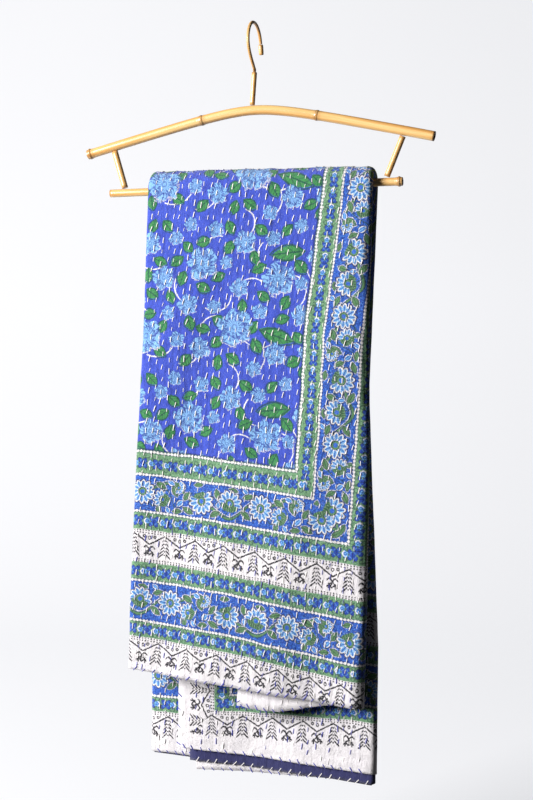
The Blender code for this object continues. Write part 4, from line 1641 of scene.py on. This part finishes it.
def printed_cotton():
    """Face of the bedspread."""
    pattern = Pattern("printed_cotton_face")
    cloth = pattern.map("cloth")
    slow, slow_colour = pattern.mottle(cloth, 28.0, 1.0, 0.5)
    fine, fine_colour = pattern.mottle(cloth, 620.0, 2.0, 0.6)
    shift = pattern.vectors("SUBTRACT", slow_colour, (0.5, 0.5, 0.5))
    places = pattern.vectors("ADD", cloth, pattern.vectors("SCALE", shift, scale=0.0035))
    shift = pattern.vectors("SUBTRACT", fine_colour, (0.5, 0.5, 0.5))
    places = pattern.vectors("ADD", places, pattern.vectors("SCALE", shift, scale=0.0026))
    places = pattern.vectors("MULTIPLY", places, (1.0, 1.0, 0.0))
    across, along, _ = pattern.parts(places)
    from_side = pattern.least(across, CLOTH_LENGTH - across)
    narrowed = pattern.most(0.0, (from_side - BEAD_LINES[3]) * 0.24)
    from_side += pattern.least(SIDE_STRIP_LESS, narrowed)
    from_end = pattern.least(along, CLOTH_WIDTH - along)
    away = pattern.least(from_side, from_end)
    on_side = pattern.maths("LESS_THAN", from_side, from_end)
    step = across * (1.0 - on_side) + along * on_side

    colour = field_print(pattern, places, fine)
    border = border_ground(pattern, places, away, fine, slow)
    border = tree_band_print(pattern, away, step, fine, border)
    border = green_strip_print(pattern, away, step, fine, border)
    border = floral_strip_print(pattern, away, step, fine, border)
    border = bead_line_print(pattern, away, step, border)
    seam = pattern.below(away, FIELD_EDGE + 0.0016, 0.0006)
    colour = pattern.paint(colour, INK_BLUE, seam * 0.7)
    colour = pattern.paint(colour, border, pattern.below(away, FIELD_EDGE))
    thin = pattern.below(fine, 0.36, 0.05) * 0.16
    colour = pattern.paint(colour, rgb(214, 216, 232), thin)
    height = quilt_relief(pattern, places)
    # Painted shade: the printed face is darkened where the quilt relief is low, in the hollows between
    # puckers and crinkles.
    painted_hollow_shade = pattern.below(height, 0.80, 0.22)
    colour = pattern.paint(colour, rgb(24, 26, 70), painted_hollow_shade * 0.13)
    pattern.raise_surface(height, 0.0024, 0.9)
    rough = 0.82 + fine * 0.14
    return pattern.finish(
        colour,
        rough,
        Sheen_Weight=0.25,
        Sheen_Roughness=0.5,
        Specular_IOR_Level=0.25,
        Sheen_Tint=(0.9, 0.92, 1.0, 1.0),
    )


def navy_cotton():
    """Reverse of the bedspread."""
    pattern = Pattern("navy_cotton_reverse")
    cloth = pattern.vectors("MULTIPLY", pattern.map("cloth"), (1.0, 1.0, 0.0))
    fine, _ = pattern.mottle(cloth, 620.0, 2.0, 0.6)
    slow, _ = pattern.mottle(cloth, 24.0, 3.0, 0.6)
    colour = pattern.paint(rgb(42, 43, 92), rgb(66, 69, 122), slow)
    colour = pattern.paint(colour, rgb(30, 30, 72), fine * 0.6)
    height = quilt_relief(pattern, cloth)
    pattern.raise_surface(height, 0.0024, 0.9)
    rough = 0.84 + fine * 0.12
    return pattern.finish(colour, rough, Sheen_Weight=0.25, Sheen_Roughness=0.5, Specular_IOR_Level=0.25)


def stitch_thread():
    """Cotton thread, off-white or violet blue by the stitch's own tone."""
    pattern = Pattern("cotton_stitch_thread")
    node = pattern.nodes.new("ShaderNodeTexCoord")
    ply, _ = pattern.mottle(node.outputs["Object"], 1400.0, 1.0, 0.5)
    tone = pattern.attribute("tone")
    white = pattern.paint(rgb(252, 249, 244), rgb(236, 231, 230), ply)
    blue = pattern.paint(rgb(70, 74, 196), rgb(44, 44, 140), ply)
    pattern.raise_surface(ply, 0.0003, 0.6)
    rough = 0.6 + ply * 0.3
    return pattern.finish(pattern.paint(white, blue, tone), rough, Sheen_Weight=0.2)


def varnished_bamboo(name, light, dark):
    """Bamboo with long fibres, scorched nodes, painted shade in the hook's grooves and the bars' bores, and a
    thin varnish.
    """
    pattern = Pattern(name)
    grain = pattern.map("grain")
    fibre = pattern.streaks(grain, (30.0, 2600.0, 1.0), 3.0, 0.6)
    broad = pattern.streaks(grain, (14.0, 160.0, 1.0), 2.0, 0.5)
    blotch, _ = pattern.mottle(grain, 130.0, 3.0, 0.6)
    scorch_and_shade = pattern.attribute("scorch_and_shade")
    colour = pattern.paint(light, dark, broad)
    colour = pattern.paint(colour, rgb(188, 130, 62), pattern.below(fibre, 0.42, 0.08) * 0.35)
    pale_fibre = pattern.above(fibre, 0.6, 0.05)
    colour = pattern.paint(colour, rgb(246, 216, 158), pale_fibre * 0.3)
    streak = pattern.streaks(grain, (5.0, 240.0, 1.0), 2.0, 0.5)
    colour = pattern.paint(colour, rgb(206, 140, 64), pattern.below(streak, 0.44, 0.08) * 0.55)
    pale_streak = pattern.above(streak, 0.58, 0.06)
    colour = pattern.paint(colour, rgb(244, 212, 150), pale_streak * 0.55)
    # The dark mark is scorch on the bamboo, and painted shade in the hook's winding grooves and inside the
    # bars' bores.
    burnt_and_shaded = scorch_and_shade * (0.35 + blotch * 0.9)
    colour = pattern.paint(colour, rgb(108, 58, 22), burnt_and_shaded)
    pattern.raise_surface(fibre, 0.0003, 0.5)
    rough = 0.28 + broad * 0.2
    return pattern.finish(colour, rough, Coat_Weight=0.7, Coat_Roughness=0.22)


def backdrop_paper():
    """Plain pale paper."""
    pattern = Pattern("pale_backdrop")
    node = pattern.nodes.new("ShaderNodeTexCoord")
    tone, _ = pattern.mottle(node.outputs["Object"], 1.5, 2.0, 0.5)
    colour = pattern.paint(rgb(152, 152, 154), rgb(148, 148, 151), tone)
    return pattern.finish(colour, 0.9, Emission_Color=(0.96, 0.97, 1.0, 1.0), Emission_Strength=0.68)


# Stage, lights and camera


def make_stage(material):
    """Sheet of backdrop that lies flat under the bedspread and curves up behind it."""
    floor_z, wall_top = -1.16, 1.1
    floor_y, wall_y = 0.1, 2.4
    left, right = -1.7, 1.2
    bend, bend_steps = 0.9, 16
    profile = [(floor_y, floor_z), (wall_y - bend, floor_z)]
    for step in range(1, bend_steps + 1):
        turn = math.pi / 2 * step / bend_steps
        profile.append((wall_y - bend + bend * math.sin(turn), floor_z + bend * (1 - math.cos(turn))))
    profile.append((wall_y, wall_top))
    points, faces = [], []
    for y, z in profile:
        points.extend([(left, y, z), (right, y, z)])
    for step in range(len(profile) - 1):
        low = 2 * step
        faces.append((low, low + 1, low + 3, low + 2))
    mesh = bpy.data.meshes.new("backdrop")
    mesh.from_pydata(points, [], faces)
    mesh.materials.append(material)
    mesh.polygons.foreach_set("use_smooth", [True] * len(faces))
    made = new_object("backdrop", mesh)
    turn = Matrix.Rotation(math.radians(VIEW_TURN), 4, "Z")
    made.data.transform(turn)


def make_light(name, place, target, size, power, colour):
    """Soft rectangular lamp aimed at a point."""
    lamp = bpy.data.lights.new(name, "AREA")
    lamp.shape = "RECTANGLE"
    lamp.size, lamp.size_y = size
    lamp.energy = power
    lamp.color = colour
    made = bpy.data.objects.new(name, lamp)
    bpy.context.scene.collection.objects.link(made)
    made.location = place
    made.rotation_euler = (Vector(target) - Vector(place)).to_track_quat("-Z", "Y").to_euler()


def light_the_scene():
    """One large soft lamp at the left of the camera and a faint, cool air all round."""
    world = bpy.data.worlds.new("studio_air")
    bpy.context.scene.world = world
    world.use_nodes = True
    air = world.node_tree.nodes["Background"]
    air.inputs["Color"].default_value = (0.95, 0.97, 1.0, 1.0)
    air.inputs["Strength"].default_value = 0.03
    make_light(
        "left_softbox",
        place=(-1.95, -2.05, 0.30),
        target=(0.0, 0.0, -0.4),
        size=(1.2, 1.2),
        power=198,
        colour=(1.0, 0.985, 0.96),
    )
    bpy.context.scene.view_settings.view_transform = "Standard"


def place_camera():
    """Camera at the height and turn that the hanger's perspective gives."""
    turn = math.radians(VIEW_TURN)
    target = Vector((0.0, 0.0, VIEW_HEIGHT))
    place = target + VIEW_DISTANCE * Vector((math.sin(turn), -math.cos(turn), 0.0))
    lens = bpy.data.cameras.new("camera")
    lens.sensor_width = SENSOR
    lens.lens = SENSOR * FOCAL_PIXELS / PHOTO_HEIGHT
    lens.shift_x = (PHOTO_WIDTH / 2 - HANGER_COLUMN) / PHOTO_HEIGHT
    lens.shift_y = (HORIZON_ROW - PHOTO_HEIGHT / 2) / PHOTO_HEIGHT
    lens.clip_end = 30
    made = bpy.data.objects.new("camera", lens)
    bpy.context.scene.collection.objects.link(made)
    made.location = place
    made.rotation_euler = (math.pi / 2, 0.0, turn)
    bpy.context.scene.camera = made


def dress_bedspread():
    """The quilted sheet and its stitches."""
    grid = cloth_grid()
    quilt = make_bedspread(grid, (printed_cotton(), navy_cotton()))
    total = len(runs_of_cloth())
    every_row = list(range(total))
    near_back_hem = list(range(total - HEM_ROWS - BACK_STITCH_ROWS, total))
    near_front_hem = list(range(0, HEM_ROWS + FRONT_STITCH_ROWS))
    stitches = running_stitches(grid, OUTER, 1, every_row, 0.0, CLOTH_LENGTH / 2, 11)
    stitches += running_stitches(grid, FLAP_FACE, 1, near_back_hem, 0.0, SIDE_STITCH_REACH, 12)
    stitches += running_stitches(grid, MIDDLE, 1, near_back_hem, 0.0, CLOTH_LENGTH / 2, 13)
    low = CLOTH_LENGTH - SIDE_STITCH_REACH
    stitches += running_stitches(grid, FLAP_BACK, 1, near_front_hem, low, CLOTH_LENGTH, 14)
    thread = stitch_thread()
    last = total - 1
    for layer, row, inner, side, tone, lean, seed in (
        (OUTER, 0, 3, 1, BLUE_THREAD, 1, 21),
        (OUTER, last, last - 3, 1, BLUE_THREAD, 1, 22),
        (FLAP_FACE, last, last - 3, 1, BLUE_THREAD, -1, 23),
        (FLAP_BACK, last, last - 3, -1, WHITE_THREAD, 1, 24),
        (FLAP_BACK, 0, 3, 1, BLUE_THREAD, -1, 25),
        (INNER, last, last - 3, 1, BLUE_THREAD, -1, 26),
        (MIDDLE, last, last - 3, 1, BLUE_THREAD, -1, 27),
    ):
        spots, normals, inwards = hem_line(grid, layer, side, row, inner)
        stitches += whip_stitches(spots, normals, inwards, tone, lean, seed)
    spots, normals, inwards = side_hem_line(grid, 0, 1, 1, near_back_hem)
    stitches += whip_stitches(spots, normals, inwards, BLUE_THREAD, 1, 31, SIDE_WHIP_STEP)
    columns = grid["printed"].shape[1]
    spots, normals, inwards = side_hem_line(grid, columns - 1, columns - 2, 1, near_front_hem)
    stitches += whip_stitches(spots, normals, inwards, BLUE_THREAD, 1, 32, SIDE_WHIP_STEP)
    sewn = make_stitches("quilting_stitches", stitches, thread)
    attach(quilt, "root")
    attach(sewn, "root")
    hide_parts("bedspread")


def dress_hanger():
    """Bamboo bars, struts and stem, and the wound hook."""
    bamboo = varnished_bamboo("varnished_bamboo", rgb(242, 200, 134), rgb(220, 162, 88))
    wound = varnished_bamboo("wound_rattan", rgb(238, 192, 122), rgb(216, 156, 84))
    top_stations = bar_stations(
        TOP_BAR_LEFT_X, TOP_BAR_RIGHT_X, TOP_BAR_R, TOP_BAR_NODES, top_bar_height, top_bar_slope
    )
    low_stations = bar_stations(
        LOWER_BAR_LEFT_X,
        LOWER_BAR_RIGHT_X,
        LOWER_BAR_R,
        LOWER_BAR_NODES,
        lambda x: LOWER_BAR_Z,
        lambda x: 0.0,
    )
    across = Vector((0, 1, 0))
    pieces = [
        (make_tube("top_bar_tube", top_stations, across, 40, bamboo, 1.1), "top_bar", "bamboo"),
        (make_tube("lower_bar_tube", low_stations, across, 40, bamboo, 2.3), "lower_bar", "bamboo"),
        (make_stem(bamboo), "stem", "bamboo"),
        (make_hook(wound), "hook", "rattan_wrap"),
        (make_hook_tip(wound), "hook_tip", "rattan_wrap"),
    ]
    for number, (name, top_x, foot_x, radius) in enumerate(STRUTS):
        rod = make_strut(name + "_rod", top_x, foot_x, radius, bamboo, 11.0 + number)
        pieces.append((rod, name, "bamboo"))
    for piece, node, slot in pieces:
        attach(piece, "root")
        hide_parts(node)


def corners(box):
    """A box as plain lists of numbers."""
    return [[float(value) for value in corner] for corner in box]


place_camera()
dress_hanger()
dress_bedspread()
make_stage(backdrop_paper())
light_the_scene()
